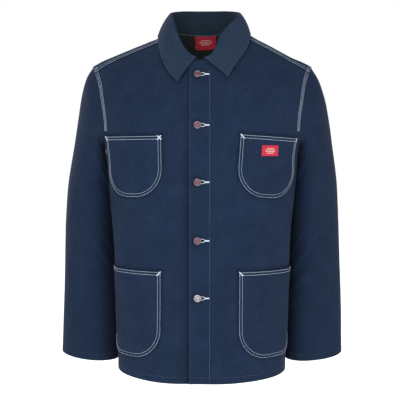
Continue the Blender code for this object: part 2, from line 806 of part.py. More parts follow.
def buttonhole_cutter(number, height, group):
    """A keyhole prism: a slit with an eye at the end where the shank sits."""
    half, reach = BUTTONHOLE_SLIT / 2, BUTTONHOLE_END - BUTTON_LINE
    meet = math.asin(half / BUTTONHOLE_EYE)
    angles = np.linspace(meet, 2 * math.pi - meet, 11)
    outline = [(BUTTONHOLE_EYE * math.cos(a), BUTTONHOLE_EYE * math.sin(a)) for a in angles]
    outline += [(reach, -half), (reach, half)]
    body = bmesh.new()
    below, above = -1.8, 3.2
    bottom = [body.verts.new((x * MM, y * MM, below * MM)) for x, y in outline]
    face = body.faces.new(bottom)
    pushed = bmesh.ops.extrude_face_region(body, geom=[face])
    raised = [v for v in pushed["geom"] if isinstance(v, bmesh.types.BMVert)]
    bmesh.ops.translate(body, verts=raised, vec=(0, 0, (above - below) * MM))
    bmesh.ops.recalc_face_normals(body, faces=body.faces)
    mesh = bpy.data.meshes.new(f"cutter_{number}")
    body.to_mesh(mesh)
    body.free()
    thing = add_object(f"cutter_{number}", mesh, None, group)
    thing.matrix_world = button_frame(height)
    thing.hide_render = True
    thing.display_type = "WIRE"
    return thing


# ---------------------------------------------------------------- the jacket


def main():
    """Builds the jacket's pieces."""
    clear_scene()
    jacket, cutters = collection("denim_jacket"), collection("cutters")
    denim = finish("denim", (0.016, 0.036, 0.083), 0.9)
    lining_cloth = finish("lining_cloth", (0.010, 0.014, 0.016), 0.95)
    red_label = finish("red_label", (0.52, 0.02, 0.04), 0.8)
    copper = finish("copper", (0.45, 0.22, 0.19), 0.38, 0.9)
    left, right = np.array([1, 1, 1]), np.array([-1, 1, 1])
    upper = front_panel("front_left", left, BUTTONHOLE_EDGE, LAP_RAISE, denim, jacket)
    front_panel("front_right", right, BUTTON_EDGE, -LAP_SINK, denim, jacket)
    back_panel(denim, jacket)
    lining(lining_cloth, jacket)
    sleeve("sleeve_left", left, denim, jacket)
    sleeve("sleeve_right", right, denim, jacket)
    collar(denim, jacket)
    for pocket in POCKETS:
        patch_pocket(pocket, denim, jacket)
    pocket_label(POCKETS[0], red_label, jacket)
    neck_label(red_label, jacket)
    for number, height in enumerate(BUTTON_HEIGHTS, 1):
        button(number, height, copper, jacket)
        slit = upper.modifiers.new(f"buttonhole_{number}", "BOOLEAN")
        slit.object = buttonhole_cutter(number, height, cutters)


main()
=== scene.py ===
"""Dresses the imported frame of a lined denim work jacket: its cloth, sewing, buttons and labels.

Each cloth piece is a thin shell on the form of its own solid, so the functions that make the form
are the ones that the solids are made with. +Z is up, the front faces -Y and the wearer's left is
+X. Sizes are in millimetres, and every mesh is written in metres.
"""

import math
from collections import namedtuple
from functools import lru_cache

import bmesh
import bpy
import numpy as np
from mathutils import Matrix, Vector


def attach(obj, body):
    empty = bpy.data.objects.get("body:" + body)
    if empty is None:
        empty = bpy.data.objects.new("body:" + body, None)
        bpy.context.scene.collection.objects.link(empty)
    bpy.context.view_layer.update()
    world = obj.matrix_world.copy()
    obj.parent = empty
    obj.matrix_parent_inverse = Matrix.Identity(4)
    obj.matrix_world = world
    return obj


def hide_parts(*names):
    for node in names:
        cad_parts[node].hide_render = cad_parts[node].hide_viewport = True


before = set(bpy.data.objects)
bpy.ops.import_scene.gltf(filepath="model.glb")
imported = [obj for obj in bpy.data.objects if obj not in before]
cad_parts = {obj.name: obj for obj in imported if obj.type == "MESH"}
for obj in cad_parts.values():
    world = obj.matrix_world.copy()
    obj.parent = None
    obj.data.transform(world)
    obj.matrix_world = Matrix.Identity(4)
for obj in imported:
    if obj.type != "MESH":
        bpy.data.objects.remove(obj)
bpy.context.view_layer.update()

bl_info = {
    "name": "Lined denim work jacket",
    "version": (1, 0, 0),
    "blender": (4, 5, 0),
    "location": "3D View > Sidebar > Jacket",
    "description": "Cloth, sewing, buttons and labels of a worn-form denim jacket",
    "category": "Object",
}

BODY_NAME = "root"
MM = 0.001
FRONT, BACK = -1, 1
HANDS = (("left", 1), ("right", -1))


def table(row, *rows):
    """Rows of a table with named columns."""
    return tuple(row(*values) for values in rows)



# ---- the form, as in the solids

DENIM_WALL = 1.5
POCKET_WALL = 1.3
COLLAR_WALL = 2.0
LINING_WALL = 1.0
LABEL_WALL = 0.8
SEAM_GAP = 0.3
LAID_GAP = 0.7

BodyRow = namedtuple("BodyRow", "height half_width front back")
BODY = table(
    BodyRow,
    (-722, 182, 129, 113), (-600, 185, 127, 110), (-500, 188, 125, 108), (-400, 192, 125, 108),
    (-300, 200, 127, 114), (-240, 207, 127, 119), (-200, 222, 126, 121), (-150, 238, 122, 120),
    (-70, 258, 110, 115), (20, 270, 98, 115),
)
SQUARENESS = 2.5
HEM = -720
HEM_DIP = 7.5
ARMPIT = -240
SHOULDER_TIP = -74
ROLL = 200

RidgeRow = namedtuple("RidgeRow", "across height")
RIDGE = table(
    RidgeRow,
    (0, 2), (50, 2), (78, 0), (125, -23), (187, -51.5), (215, -64.5), (232, -74), (262, -96),
)
BACK_NECK_RISE = 35
NECK_HALF_WIDTH = 78
NECK_FRONT = 80
NECK_BACK = 68

ArmRow = namedtuple("ArmRow", "height front back")
ARMHOLE = table(
    ArmRow,
    (ARMPIT, 207, 207), (-222, 204, 208), (-190, 204, 211), (-150, 210, 217), (-110, 218, 223),
    (SHOULDER_TIP, 232, 232),
)

SleeveRow = namedtuple("SleeveRow", "out_x out_z in_x in_z middle half_depth")
SLEEVE = table(
    SleeveRow,
    (246, -97, 209, -247, 6, 68), (256.5, -130, 208, -257, 12, 71),
    (266, -178, 205, -274, 20, 73), (277, -238, 201, -298, 28, 73),
    (290, -312, 195, -344, 34, 70), (297.5, -402, 189, -416, 38, 65),
    (302.5, -510, 184.5, -518, 39, 58), (306, -610, 182.5, -618, 34, 50),
    (308, -694, 183, -708, 28, 43),
)
ROUND_ROW = 5
CUFF_FRONT_DROP = 6

LINING_SEAM_GAP = 0.5
LINING_GAP = 1.5
LINING_HEM = 26
LINING_EDGE = 0.05
LINING_ROLL = 0.12

BUTTONHOLE_EDGE = 27
BUTTON_EDGE = 17
LAP_RAISE = 1.3
LAP_SINK = 1.0
LAP_FLAT, LAP_FADE = 30, 60

CollarRow = namedtuple("CollarRow", "angle stand lean edge_x edge_y edge_z")
COLLAR = table(
    CollarRow,
    (0, 49, 0.16, 0, 84, -6), (30, 47, 0.12, 49, 73, -7), (60, 42, -0.03, 81, 42, -8),
    (90, 36, -0.22, 91, 4, -8), (105, 35, -0.22, 91, -26, -16), (120, 34, -0.16, 89, -49, -32),
    (135, 30, -0.04, 84, -70, -50), (150, 18, 0.15, 74, -84, -68), (165, 7, 0.4, 62, -96, -87),
    (177, 3, 0.5, 52, -104, -105),
)
COLLAR_END = 177
COLLAR_SHIFT = 7
LEFT_RISE = 6
FOLD_RADIUS = 3.2
FOLD_SWEEP = math.radians(150)
LEAF_CLEAR = 4.0
LEAF_CROWN = 5.0
COLLAR_COLUMNS = 30
STAND_STEPS, FOLD_STEPS, LEAF_STEPS = 3, 4, 5

# Where this collar isn't even: its right end stops short, its right leaf is wider and its nape higher
RIGHT_END = 171.5
RIGHT_WIDE = 5.0
RIGHT_TIP = (2.5, -4.5)
RIGHT_SINK = 4  # and beside the neck its edge is this much lower
NAPE_RISE = 5.0
LEFT_LEAN = 15.0  # how far the left fold leans into the neck, and where
LEFT_LEAN_AT, LEFT_LEAN_REACH = 141, 18

Pocket = namedtuple("Pocket", "name side inner top width height radius slant")
POCKETS = table(
    Pocket,
    ("pocket_chest_left", 1, 77, -213, 138, 128, 60, -4.0),
    ("pocket_chest_right", -1, 82, -216, 138, 127, 60, -1.0),
    ("pocket_hip_left", 1, 75, -495, 177, 184, 62, -0.4),
    ("pocket_hip_right", -1, 84, -494.5, 169, 184, 62, 0.2),
)

BUTTON_LINE = -9.5
BUTTON_HEIGHTS = (-93, -195.5, -311, -430.5, -549)
BUTTON_RADIUS = 8.5
SHANK_RADIUS = 2.2
BUTTON_STEPS = 72  # round a button
RIM_FROM = 5.7  # the rim is outside this radius

# (radius, rise) of a button, from the middle of its face out over the rim and in to the shank
BUTTON_PROFILE = (
    (0, 2.0), (0.9, 2.02), (1.5, 2.28), (2.4, 2.42), (3.3, 2.36), (4.1, 2.0), (4.6, 1.55),
    (5.1, 1.42), (5.6, 1.5), (6.0, 1.95), (6.5, 2.42), (7.1, 2.55), (7.7, 2.4), (8.2, 2.0),
    (8.45, 1.5), (BUTTON_RADIUS, 1.1), (8.4, 0.65), (8.0, 0.3), (7.4, 0.1),
    (SHANK_RADIUS + 0.5, 0), (SHANK_RADIUS, -0.4), (SHANK_RADIUS, -2.2), (0, -2.2),
)
CAP_SHARE = 0.9  # the cap is rolled a little smaller than the blank

POCKET_LABEL = (37, 21.5)
POCKET_LABEL_PLACE = (65, 19.5)

# Each plain bar of a label: its distance from the top, and its length as a share of the reach
POCKET_BARS = ((6.2, 0.42), (9.4, 0.58), (12.6, 0.58), (15.8, 0.42))
NECK_BARS = ((9.2, 0.52), (12.8, 0.74), (16.4, 0.74), (20.0, 0.52))
NECK_REACH = 36

# The neck label's place on the lining, as shares of the half back's width and of the armhole's rise
NECK_LABEL_SIDES = (-0.37 / 12, 0.8 / 12)
NECK_LABEL_DROP = 1.3 / 11

# ---- how finely the cloth is laid

FRONT_COLUMNS = 92
BACK_COLUMNS = 78
LOW_ROWS = 132
HIGH_ROWS = 78
SLEEVE_AROUND = 120
SLEEVE_ROWS = 168
COLLAR_AROUND = 168
COLLAR_ACROSS = 52
STRIP_ROWS = 16
FRONT_NECK_SHARE = 5 / 14  # of a front's columns that end at the neck
FRONT_CORNER_SHARE = 1 / 14  # and of those, up to the corner of the front edge
BACK_NECK_SHARE = 3 / 12

# ---- what the cloth does

# A soft ridge in the cloth: its middle, its direction, half its length and width, and its rise
Crease = namedtuple("Crease", "around along slope length width rise")

# Round the body: 0 is the middle of the front, and the wearer's left is positive
AROUND = 150
BODY_CREASES = table(
    Crease,
    (152, -268, 38, 62, 11, 1.2), (174, -305, 60, 80, 13, 1.5), (130, -398, 76, 110, 19, 1.3),
    (62, -440, 84, 140, 22, -0.8), (188, -470, 88, 140, 20, 2.0), (118, -655, 86, 70, 22, 1.4),
    (44, -668, 94, 70, 18, -0.9), (-160, -270, -36, 66, 12, 1.3), (-178, -322, -62, 78, 12, 1.4),
    (-120, -404, -78, 120, 20, 1.2), (-66, -455, -88, 140, 21, -0.8),
    (-192, -455, -85, 150, 19, 1.9), (-108, -660, -84, 80, 24, 1.5),
    (-40, -400, 90, 330, 8, -1.1), (215, -330, 84, 90, 12, 1.8), (-218, -340, -82, 90, 12, 1.9),
    (328, -205, 70, 105, 17, 1.9), (-335, -215, -68, 112, 18, 2.1), (300, -285, 52, 80, 12, 1.7),
    (-298, -280, -50, 78, 13, 1.6), (396, -340, 84, 190, 24, 2.2),
    (-392, -350, -86, 200, 23, 2.3), (466, -470, 91, 170, 27, -1.6),
    (352, -476, 62, 120, 15, 1.7), (-348, -500, -60, 130, 16, 1.8), (430, -640, 88, 100, 22, 2.0),
    (-415, -650, -87, 95, 24, 1.9), (436, -424, 6, 85, 9, 1.0), (-445, -440, -8, 76, 8, 0.9),
    (-468, -58, 3, 66, 9, 0.8),
)

# Down a sleeve: 0 is its outer line, 90 degrees its front, and along runs from the armhole
SLEEVE_REACH = 66
LEFT_SLEEVE_CREASES = table(
    Crease,
    (182, 52, 20, 56, 8, 2.0), (166, 98, 27, 66, 9, 1.8), (204, 140, -18, 70, 10, 1.6),
    (150, 258, 24, 72, 9, 1.2), (138, 296, 14, 82, 10, 1.3), (160, 333, -8, 74, 9, 1.3),
    (140, 372, -22, 78, 11, 1.1), (96, 214, 86, 110, 18, 0.9), (72, 455, 88, 100, 16, 0.8),
    (264, 196, 70, 105, 15, 1.7), (286, 322, 12, 66, 12, 1.4), (248, 420, 80, 112, 16, 1.6),
    (302, 486, 85, 95, 15, 1.3), (186, 548, 10, 56, 8, 0.9), (240, 570, -12, 56, 8, 0.9),
)
RIGHT_SLEEVE_CREASES = table(
    Crease,
    (178, 58, 23, 60, 9, 1.9), (160, 108, 22, 62, 8, 1.7), (200, 152, -14, 66, 10, 1.7),
    (154, 250, 18, 76, 9, 1.3), (132, 288, 18, 78, 9, 1.1), (164, 324, -4, 70, 10, 1.2),
    (146, 360, -26, 72, 11, 1.2), (88, 226, 88, 120, 17, 0.8), (78, 440, 86, 110, 15, 0.9),
    (260, 210, 74, 100, 16, 1.6), (290, 338, 8, 70, 11, 1.3), (252, 432, 82, 104, 15, 1.7),
    (296, 470, 86, 90, 16, 1.2), (190, 560, 12, 54, 8, 0.9),
)

# The shoulders aren't even: how far each stands off the form, by distance from the centre line
TILT_AT = (78, 93, 117, 142, 166, 190, 212)
LEFT_TILT = (0, 2.2, 2.8, 2.4, 0.8, -0.8, 0)
RIGHT_TILT = (0, -7.2, -5.0, -3.1, -2.0, -1.0, 0)
TILT_DEPTH = 45

# How much fuller the left sleeve is on its outer side, by distance from the armhole
LEFT_FULL_AT = (0, 15, 45, 90, 130, 180, 260, 400, 640)
LEFT_FULL = (0, 0.2, 2.2, 5.4, 6.0, 4.8, 3.0, 1.6, 0.8)
CUFF_RISE = {1: 1.8, -1: 2.8}  # how much shorter each sleeve came out
SIDE_RISE = {1: 1.0, -1: 2.6}  # and each side of the hem

FELL_WIDTH = 9.5  # of the felled seam beside the armhole
FELL_RISE = 0.5
STRIP_REACH = 35.3  # how far forward of the shoulder line the back laps over the fronts
STRIP_NARROWS = 0.18  # and how much less at the armhole
STRIP_RISE = 1.25
HEM_BAND = 13
CUFF_BAND = 12
FACING_WIDTH = 44  # of the cloth turned in along a front's edge
ROW_ABOVE = 0.15  # how far a row of stitches stands on the cloth
ARMHOLE_ROWS = (2.2, 5.3, 8.4)  # from the seam
SIDE_ROWS = (2.4, 8.2)  # from the seam
SHOULDER_ROWS = (26.5, 33.2)  # forward of the shoulder line
COLLAR_ROW = 4.0  # inside the edge of the leaf
EDGE_ROW = 2.6  # inside the edge of the buttonhole front
LAP_SHADE_AT = (100, 200, 330, 360, 480, 600, 720)  # below the neck
LAP_SHADE = (0.05, 0.30, 0.62, 0.78, 0.62, 0.70, 0.80)  # how dark the cloth beside the lap is
FACING_LINE = 15.3  # across, from the centre line, where the facing is sewn down
BACK_SLACK = 0.9  # how much deeper the creases of the back are
MOUTH_GAPE = 1.5  # how far the mouth of a pocket stands off
SIDE_PULL, SIDE_PULL_WIDTH = 2.4, 23  # how far the side seams pull the cloth in, and over what width

# ---- sewing

Style = namedtuple("Style", "pitch length width rise turn jitter")
ROW = Style(3.5, 2.9, 0.62, 0.6, 0, 4)
BOLD_ROW = Style(3.4, 2.9, 0.78, 0.7, 0, 4)
FINE_ROW = Style(2.9, 2.4, 0.55, 0.5, 0, 3)
TACK = Style(0.55, 2.6, 0.66, 1.0, 90, 8)
FAINT_ROW = Style(3.6, 2.3, 0.3, 0.3, 0, 4)
WHIP = Style(0.6, 1.45, 0.7, 0.9, 90, 8)
SATIN = Style(0.42, 1.9, 0.5, 0.35, 90, 3)

# ---- curves and vectors


def column(rows, name):
    """One named column of a table as an array."""
    return np.array([getattr(row, name) for row in rows], float)


def smooth(at, places, values):
    """A smooth curve through the values at the rising places, read at some places."""
    at = np.clip(at, places[0], places[-1])
    slopes = np.gradient(values, places, axis=0)
    i = np.clip(np.searchsorted(places, at, side="right") - 1, 0, len(places) - 2)
    step = places[i + 1] - places[i]
    t = (at - places[i]) / step
    if values.ndim > 1:
        t = t.reshape(t.shape + (1,) * (values.ndim - 1))
        step = step.reshape(t.shape)
    rise = t * t * (3 - 2 * t)
    leave = step * t * (1 - t) ** 2
    arrive = step * t * t * (t - 1)
    return (
        values[i] * (1 - rise) + values[i + 1] * rise + slopes[i] * leave + slopes[i + 1] * arrive
    )


def ease(t):
    """Goes from 0 to 1 with no kink at either end."""
    t = np.clip(t, 0, 1)
    return t * t * (3 - 2 * t)


def bell(off, width):
    """1 at no distance, and fading to nothing past the width."""
    return np.exp(-((off / width) ** 2))


def unit(vectors):
    """The vectors at length 1."""
    return vectors / np.maximum(np.linalg.norm(vectors, axis=-1, keepdims=True), 1e-9)


def shares(count, *marks):
    """Rising shares from 0 to 1, closer together near each mark (share, spread, closeness)."""
    fine = np.linspace(0, 1, 4001)
    weight = np.ones_like(fine)
    for place, spread, closeness in marks:
        weight += (closeness - 1) * bell(fine - place, spread)
    total = np.concatenate([[0], np.cumsum((weight[1:] + weight[:-1]) / 2)])
    return np.interp(np.linspace(0, total[-1], count + 1), total, fine)


def lengths(points, axis):
    """Distances along one axis of a grid of points, from its start."""
    steps = np.linalg.norm(np.diff(points, axis=axis), axis=-1)
    start = np.zeros_like(np.take(steps, [0], axis=axis))
    return np.concatenate([start, np.cumsum(steps, axis=axis)], axis=axis)


def lengths_left(points, axis):
    """Distances along one axis of a grid of points, to its end."""
    return np.flip(lengths(np.flip(points, axis), axis), axis)


def between(grid, rows, columns):
    """Points of a grid at fractions of its rows and columns."""
    i = np.clip(np.floor(rows).astype(int), 0, grid.shape[0] - 2)
    j = np.clip(np.floor(columns).astype(int), 0, grid.shape[1] - 2)
    v, u = (rows - i)[..., None], (columns - j)[..., None]
    low = grid[i, j] * (1 - u) + grid[i, j + 1] * u
    high = grid[i + 1, j] * (1 - u) + grid[i + 1, j + 1] * u
    return low * (1 - v) + high * v


# ---- the body's form


def half_width(height):
    """Half the width of the body's section at a height."""
    return smooth(height, column(BODY, "height"), column(BODY, "half_width"))


def ridge(across, side):
    """Height of the shoulder line at a distance from the centre line."""
    across = np.abs(across)
    height = smooth(across, column(RIDGE, "across"), column(RIDGE, "height"))
    if side == BACK:
        height = height + BACK_NECK_RISE * np.clip(1 - (across / NECK_HALF_WIDTH) ** 2, 0, 1)
    return height


def depth(across, height, side):
    """How far the form stands in front of or behind the side seams."""
    full = smooth(height, column(BODY, "height"), column(BODY, "front" if side == FRONT else "back"))
    drop = np.clip((ridge(across, side) - height) / ROLL, 0, 1)
    out = np.clip(np.abs(across) / half_width(height), 0, 1)
    return full * np.sqrt(drop * (2 - drop)) * (1 - out**SQUARENESS) ** (1 / SQUARENESS)


def drop_of(roll):
    """Distance below the shoulder line for a roll, the angle through which the cloth has turned."""
    return ROLL * np.where(roll < math.pi / 2, 1 - np.cos(roll), 1 + roll - math.pi / 2)


def roll_of(drop):
    """The roll at a distance below the shoulder line."""
    q = np.maximum(drop, 0) / ROLL
    return np.where(q < 1, np.arccos(1 - np.minimum(q, 1)), math.pi / 2 + q - 1)


def form_place(across, height, side):
    """(turn, roll) of a place on the form. The turn is 0 in the middle and 90 degrees at the side."""
    turn = np.arcsin(np.clip(across / half_width(height), -1, 1))
    return np.stack([turn, roll_of(ridge(across, side) - height)], axis=-1)


def form_points(places, side):
    """Points of the form at (turn, roll) places."""
    turn, roll = places[..., 0], places[..., 1]
    height = ridge(0.0, side) - drop_of(roll)
    for _ in range(7):
        across = half_width(height) * np.sin(turn)
        height = ridge(across, side) - drop_of(roll)
    return np.stack([across, side * depth(across, height, side), height], axis=-1)


def form_normals(places, side):
    """Outward normals of the form at (turn, roll) places."""
    near = 0.004
    inside = np.stack(
        [
            np.clip(places[..., 0], near - math.pi / 2, math.pi / 2 - near),
            np.maximum(places[..., 1], 2 * near),
        ],
        axis=-1,
    )
    around, down = np.array([near / 2, 0]), np.array([0, near / 2])
    along = form_points(inside + around, side) - form_points(inside - around, side)
    below = form_points(inside + down, side) - form_points(inside - down, side)
    return unit(np.cross(below, along) * -side)


def nearest_place(points, side):
    """(turn, roll) places of the form that lie nearest to the points."""
    high = ridge(points[..., 0], side) - 0.5
    places = form_place(points[..., 0], np.minimum(points[..., 2], high), side)
    around, down = np.array([0.002, 0]), np.array([0, 0.002])
    for _ in range(9):
        here = form_points(places, side)
        along = (form_points(places + around, side) - form_points(places - around, side)) / 0.004
        below = (form_points(places + down, side) - form_points(places - down, side)) / 0.004
        short = points - here
        aa, ab, bb = (along * along).sum(-1), (along * below).sum(-1), (below * below).sum(-1)
        ca, cb = (short * along).sum(-1), (short * below).sum(-1)
        whole = np.maximum(aa * bb - ab * ab, 1e-6)
        step = np.stack([(ca * bb - cb * ab) / whole, (cb * aa - ca * ab) / whole], axis=-1)
        places = places + np.clip(step, -0.1, 0.1)
        places[..., 0] = np.clip(places[..., 0], -1.5, 1.5)
        places[..., 1] = np.maximum(places[..., 1], 0.01)
    return places


def settle(points, side, clear):
    """The points, moved out where they are nearer to the form than they may be."""
    places = nearest_place(points, side)
    normals = form_normals(places, side)
    off = ((points - form_points(places, side)) * normals).sum(axis=-1)
    return points + normals * np.maximum(clear - off, 0)[..., None]


def shoulder_height(across, out, side):
    """Height of the form where it stands this far in front of or behind the shoulder line."""
    height = ridge(across, side) - 1.0
    for _ in range(40):
        drop = np.clip((ridge(across, side) - height) / ROLL, 1e-6, 1)
        full = depth(across, height, side) / np.sqrt(drop * (2 - drop))
        share = np.clip(out / np.maximum(full, 1e-6), 0, 0.999)
        found = ridge(across, side) - ROLL * (1 - np.sqrt(1 - share**2))
        height = 0.5 * (height + found)
    return height


def neck_point(angle):
    """Point of the neckline at an angle round the neck from the middle of the back, in radians."""
    across = NECK_HALF_WIDTH * np.sin(angle)
    behind = np.cos(angle) > 0
    out = np.where(behind, NECK_BACK, NECK_FRONT) * np.abs(np.cos(angle))
    height = np.where(
        behind, shoulder_height(across, out, BACK), shoulder_height(across, out, FRONT)
    )
    return np.stack([across, np.where(behind, out, -out), height], axis=-1)


# ---- sleeves and the armhole


def armhole_points(angles):
    """Points of the wearer's left armhole seam, at angles from the shoulder tip down the front."""
    middle, half = (SHOULDER_TIP + ARMPIT) / 2, (SHOULDER_TIP - ARMPIT) / 2
    height = middle + half * np.cos(angles)
    heights = column(ARMHOLE, "height")
    rings = []
    for side, name in ((FRONT, "front"), (BACK, "back")):
        across = smooth(height, heights, column(ARMHOLE, name))
        out = depth(across, height, side) * (np.abs(np.sin(angles)) > 1e-6)
        rings.append(np.stack([across, side * out, height], axis=-1))
    return np.where((angles <= math.pi)[:, None], rings[0], rings[1])


def ring_angles():
    """Angles of the points round a sleeve."""
    return 2 * math.pi * np.arange(SLEEVE_AROUND) / SLEEVE_AROUND


def sleeve_sections():
    """The armhole and the sleeve's own sections, as rings that start at the outer point."""
    angles = ring_angles()
    rings = [armhole_points(angles)]
    seam_shape = -rings[0][:, 1] / np.abs(rings[0][:, 1]).max()
    for number, row in enumerate(SLEEVE, 1):
        outer = np.array([row.out_x, row.middle, row.out_z])
        inner = np.array([row.in_x, row.middle, row.in_z])
        ring = (outer + inner) / 2 + np.outer(np.cos(angles), (outer - inner) / 2)
        oval = min(number / ROUND_ROW, 1)
        ring[:, 1] -= row.half_depth * (oval * np.sin(angles) + (1 - oval) * seam_shape)
        rings.append(ring)
    rings[-1][:, 2] -= CUFF_FRONT_DROP * np.sin(angles)
    return np.array(rings)


def ring_normals(grid):
    """Outward normals of a tube given as rings."""
    around = np.roll(grid, -1, axis=1) - np.roll(grid, 1, axis=1)
    down = np.gradient(grid, axis=0)
    return unit(np.cross(around, down))


@lru_cache(maxsize=None)
def sleeve_grid():
    """The sleeve's outer points on the wearer's left, with their normals. The first ring is the seam."""
    sections = sleeve_sections()
    steps = np.linalg.norm(np.diff(sections, axis=0), axis=2).mean(axis=1)
    places = np.concatenate([[0], np.cumsum(steps)])
    at = places[-1] * shares(SLEEVE_ROWS, (0, 0.02, 3), (1, 0.025, 4))
    grid = smooth(at, places, sections)
    return grid, ring_normals(grid)


@lru_cache(maxsize=None)
def seam_halfway():
    """Normals round the armhole seam, halfway between the body's and the sleeve's."""
    grid, normals = sleeve_grid()
    body = np.empty_like(grid[0])
    front = ring_angles() <= math.pi
    for side, here in ((FRONT, front), (BACK, ~front)):
        ring = grid[0][here]
        body[here] = form_normals(form_place(ring[:, 0], ring[:, 2], side), side)
    return unit(body + normals[0])


def halfway_at(angles):
    """The halfway normals at angles round the armhole."""
    known = np.append(ring_angles(), 2 * math.pi)
    values = np.concatenate([seam_halfway(), seam_halfway()[:1]])
    read = [np.interp(angles % (2 * math.pi), known, values[:, k]) for k in range(3)]
    return unit(np.stack(read, axis=-1))


@lru_cache(maxsize=None)
def seam_trace():
    """The armhole seam as close points, for distances to it."""
    return armhole_points(2 * math.pi * np.arange(480) / 480)


def seam_distance(points):
    """Distance of points to the nearer armhole seam."""
    near = np.abs(points[..., 0]).reshape(-1)
    flat = np.stack([near, points[..., 1].reshape(-1), points[..., 2].reshape(-1)], axis=-1)
    trace = seam_trace()
    square = (flat**2).sum(1)[:, None] + (trace**2).sum(1)[None] - 2 * flat @ trace.T
    return np.sqrt(np.maximum(square.min(axis=1), 0)).reshape(points.shape[:-1])


# ---- creases and small relief


def crease_lift(across, along, creases, whole):
    """Rise of the cloth from its creases, where the across direction closes after the whole length."""
    lift = np.zeros_like(across)
    for number, crease in enumerate(creases):
        aside = (across - crease.around + whole / 2) % whole - whole / 2
        down = along - crease.along
        turn = math.radians(crease.slope)
        run = aside * math.cos(turn) + down * math.sin(turn)
        off = down * math.cos(turn) - aside * math.sin(turn)
        off = off + 0.35 * crease.width * np.sin(run / (0.9 * crease.length) + number)
        width = crease.width * (1 + 0.25 * np.sin(run / 31 + 2 * number))
        fade = np.exp(-((run / crease.length) ** 2) * 1.6)
        fold = bell(off, width) - 0.55 * bell(off - 1.7 * width, 1.3 * width)
        lift += crease.rise * fade * fold
    return lift


def crinkle(angle, along, strength):
    """Small uneven ripples that close after one turn."""
    patches = 0.5 + 0.5 * np.sin(3 * angle + along / 57 + 1.3) * np.sin(2 * angle - along / 83)
    ripples = (
        np.sin(23 * angle + along / 11.0)
        + np.sin(31 * angle - along / 8.5 + 1.7)
        + 0.8 * np.sin(43 * angle + along / 6.4 + 0.6)
        + 0.8 * np.sin(17 * angle - along / 5.2 + 2.9)
    )
    return strength * patches * ripples / 2


def body_relief(points):
    """Rise of the body's cloth at points of its form, the same for all that lies on them."""
    angle = np.arctan2(points[..., 0], -points[..., 1])
    height = points[..., 2]
    look = bpy.context.scene.jacket_cloth
    lift = look.crease_strength * crease_lift(
        AROUND * angle, height, BODY_CREASES, 2 * math.pi * AROUND
    )
    lift *= 1 + BACK_SLACK * ease(points[..., 1] / 70)
    flutes = ease((-height - 420) / 300)
    lift += flutes * (
        1.3 * np.sin(5 * angle + 0.7 + height / 310) + 0.9 * np.sin(8 * angle + 2.1 - height / 240)
    )
    lift += 0.45 * np.sin(3 * angle + height / 83 + 1) + 0.3 * np.sin(7 * angle - height / 61)
    lift += crinkle(angle, height, 0.16)
    beside = 1 - ease(np.abs(points[..., 1]) / SIDE_PULL_WIDTH)
    lift -= SIDE_PULL * beside * ease((ARMPIT - 30 - height) / 120)
    round_neck = np.hypot(points[..., 0] / NECK_HALF_WIDTH, points[..., 1] / NECK_FRONT)
    calm = ease((round_neck - 1.0) / 0.5) + ease((-height - 95) / 60)
    calm = np.minimum(calm, 1) * ease((seam_distance(points) - 3) / 32)
    return lift * calm + shoulder_tilt(points)


def shoulder_tilt(points):
    """How far the shoulders stand above an even form."""
    places = np.array(TILT_AT, float)
    left, right = (
        smooth(np.abs(points[..., 0]), places, np.array(tilt)) for tilt in (LEFT_TILT, RIGHT_TILT)
    )
    below = np.maximum(ridge(points[..., 0], FRONT) - points[..., 2], 0)
    return np.where(points[..., 0] > 0, left, right) * bell(below, TILT_DEPTH)


def fell_lift(points):
    """Rise of the felled seam beside the armhole, with its puckers."""
    away = seam_distance(points)
    pucker = 0.14 * np.sin(points[..., 2] / 1.9 + points[..., 1] / 2.6) * bell(away, 14)
    return FELL_RISE * (1 - ease((away - FELL_WIDTH + 1) / 2)) + pucker


def groove(off, width, deep):
    """A shallow groove where a row of stitches pulls the cloth in."""
    return -deep * bell(off, width)


def hem_lift(points):
    """Rise of the turned-up hem, with the pull of its row of stitches."""
    up = points[..., 2] - HEM
    angle = np.arctan2(points[..., 0], -points[..., 1])
    pucker = 0.16 * np.sin(88 * angle + 2 * np.sin(9 * angle)) * bell(up - 8, 9)
    return 0.35 * (1 - ease((up - HEM_BAND) / 3)) + groove(up - HEM_BAND, 1.6, 0.35) + pucker


def lap(across, amount):
    """How far a front is raised or sunk where the two lap, by distance from the centre line."""
    return amount * (1 - ease((across - LAP_FLAT) / LAP_FADE))


def body_lift(points, side, hand):
    """All that lifts the cloth of the body off its form, at points already on the wearer's own side."""
    lift = body_relief(points) + fell_lift(points) + hem_lift(points)
    if side == FRONT:
        own = points[..., 0] * hand
        lift = lift + (lap(own, LAP_RAISE) if hand > 0 else -lap(own, LAP_SINK))
        if hand > 0:
            edge = points[..., 0] + BUTTONHOLE_EDGE
            ripple = 1 + 0.5 * np.sin(points[..., 2] / 3.1 + np.sin(points[..., 2] / 21))
            lift = lift + groove(points[..., 0] - FACING_LINE, 1.5, 0.3) * ripple
            lift = lift + groove(edge - 2.6, 1.2, 0.2) + 1.1 * bell(edge, 8)
    return lift


def on_body(places, side, hand=1, above=0.0):
    """Points this far above the cloth of the body, with the form's normals."""
    points, normals = form_points(places, side), form_normals(places, side)
    points[..., 1] = side * np.maximum(side * points[..., 1], SEAM_GAP / 2)
    points[..., 0] *= hand
    normals[..., 0] *= hand
    lift = body_lift(points, side, hand) + above
    return points + normals * lift[..., None], normals


# ---- meshes


def away_from(grid, axis, end):
    """Directions in which a grid runs out over one of its edges."""
    last = np.take(grid, -1 if end else 0, axis=axis)
    before = np.take(grid, -2 if end else 1, axis=axis)
    return unit(last - before)


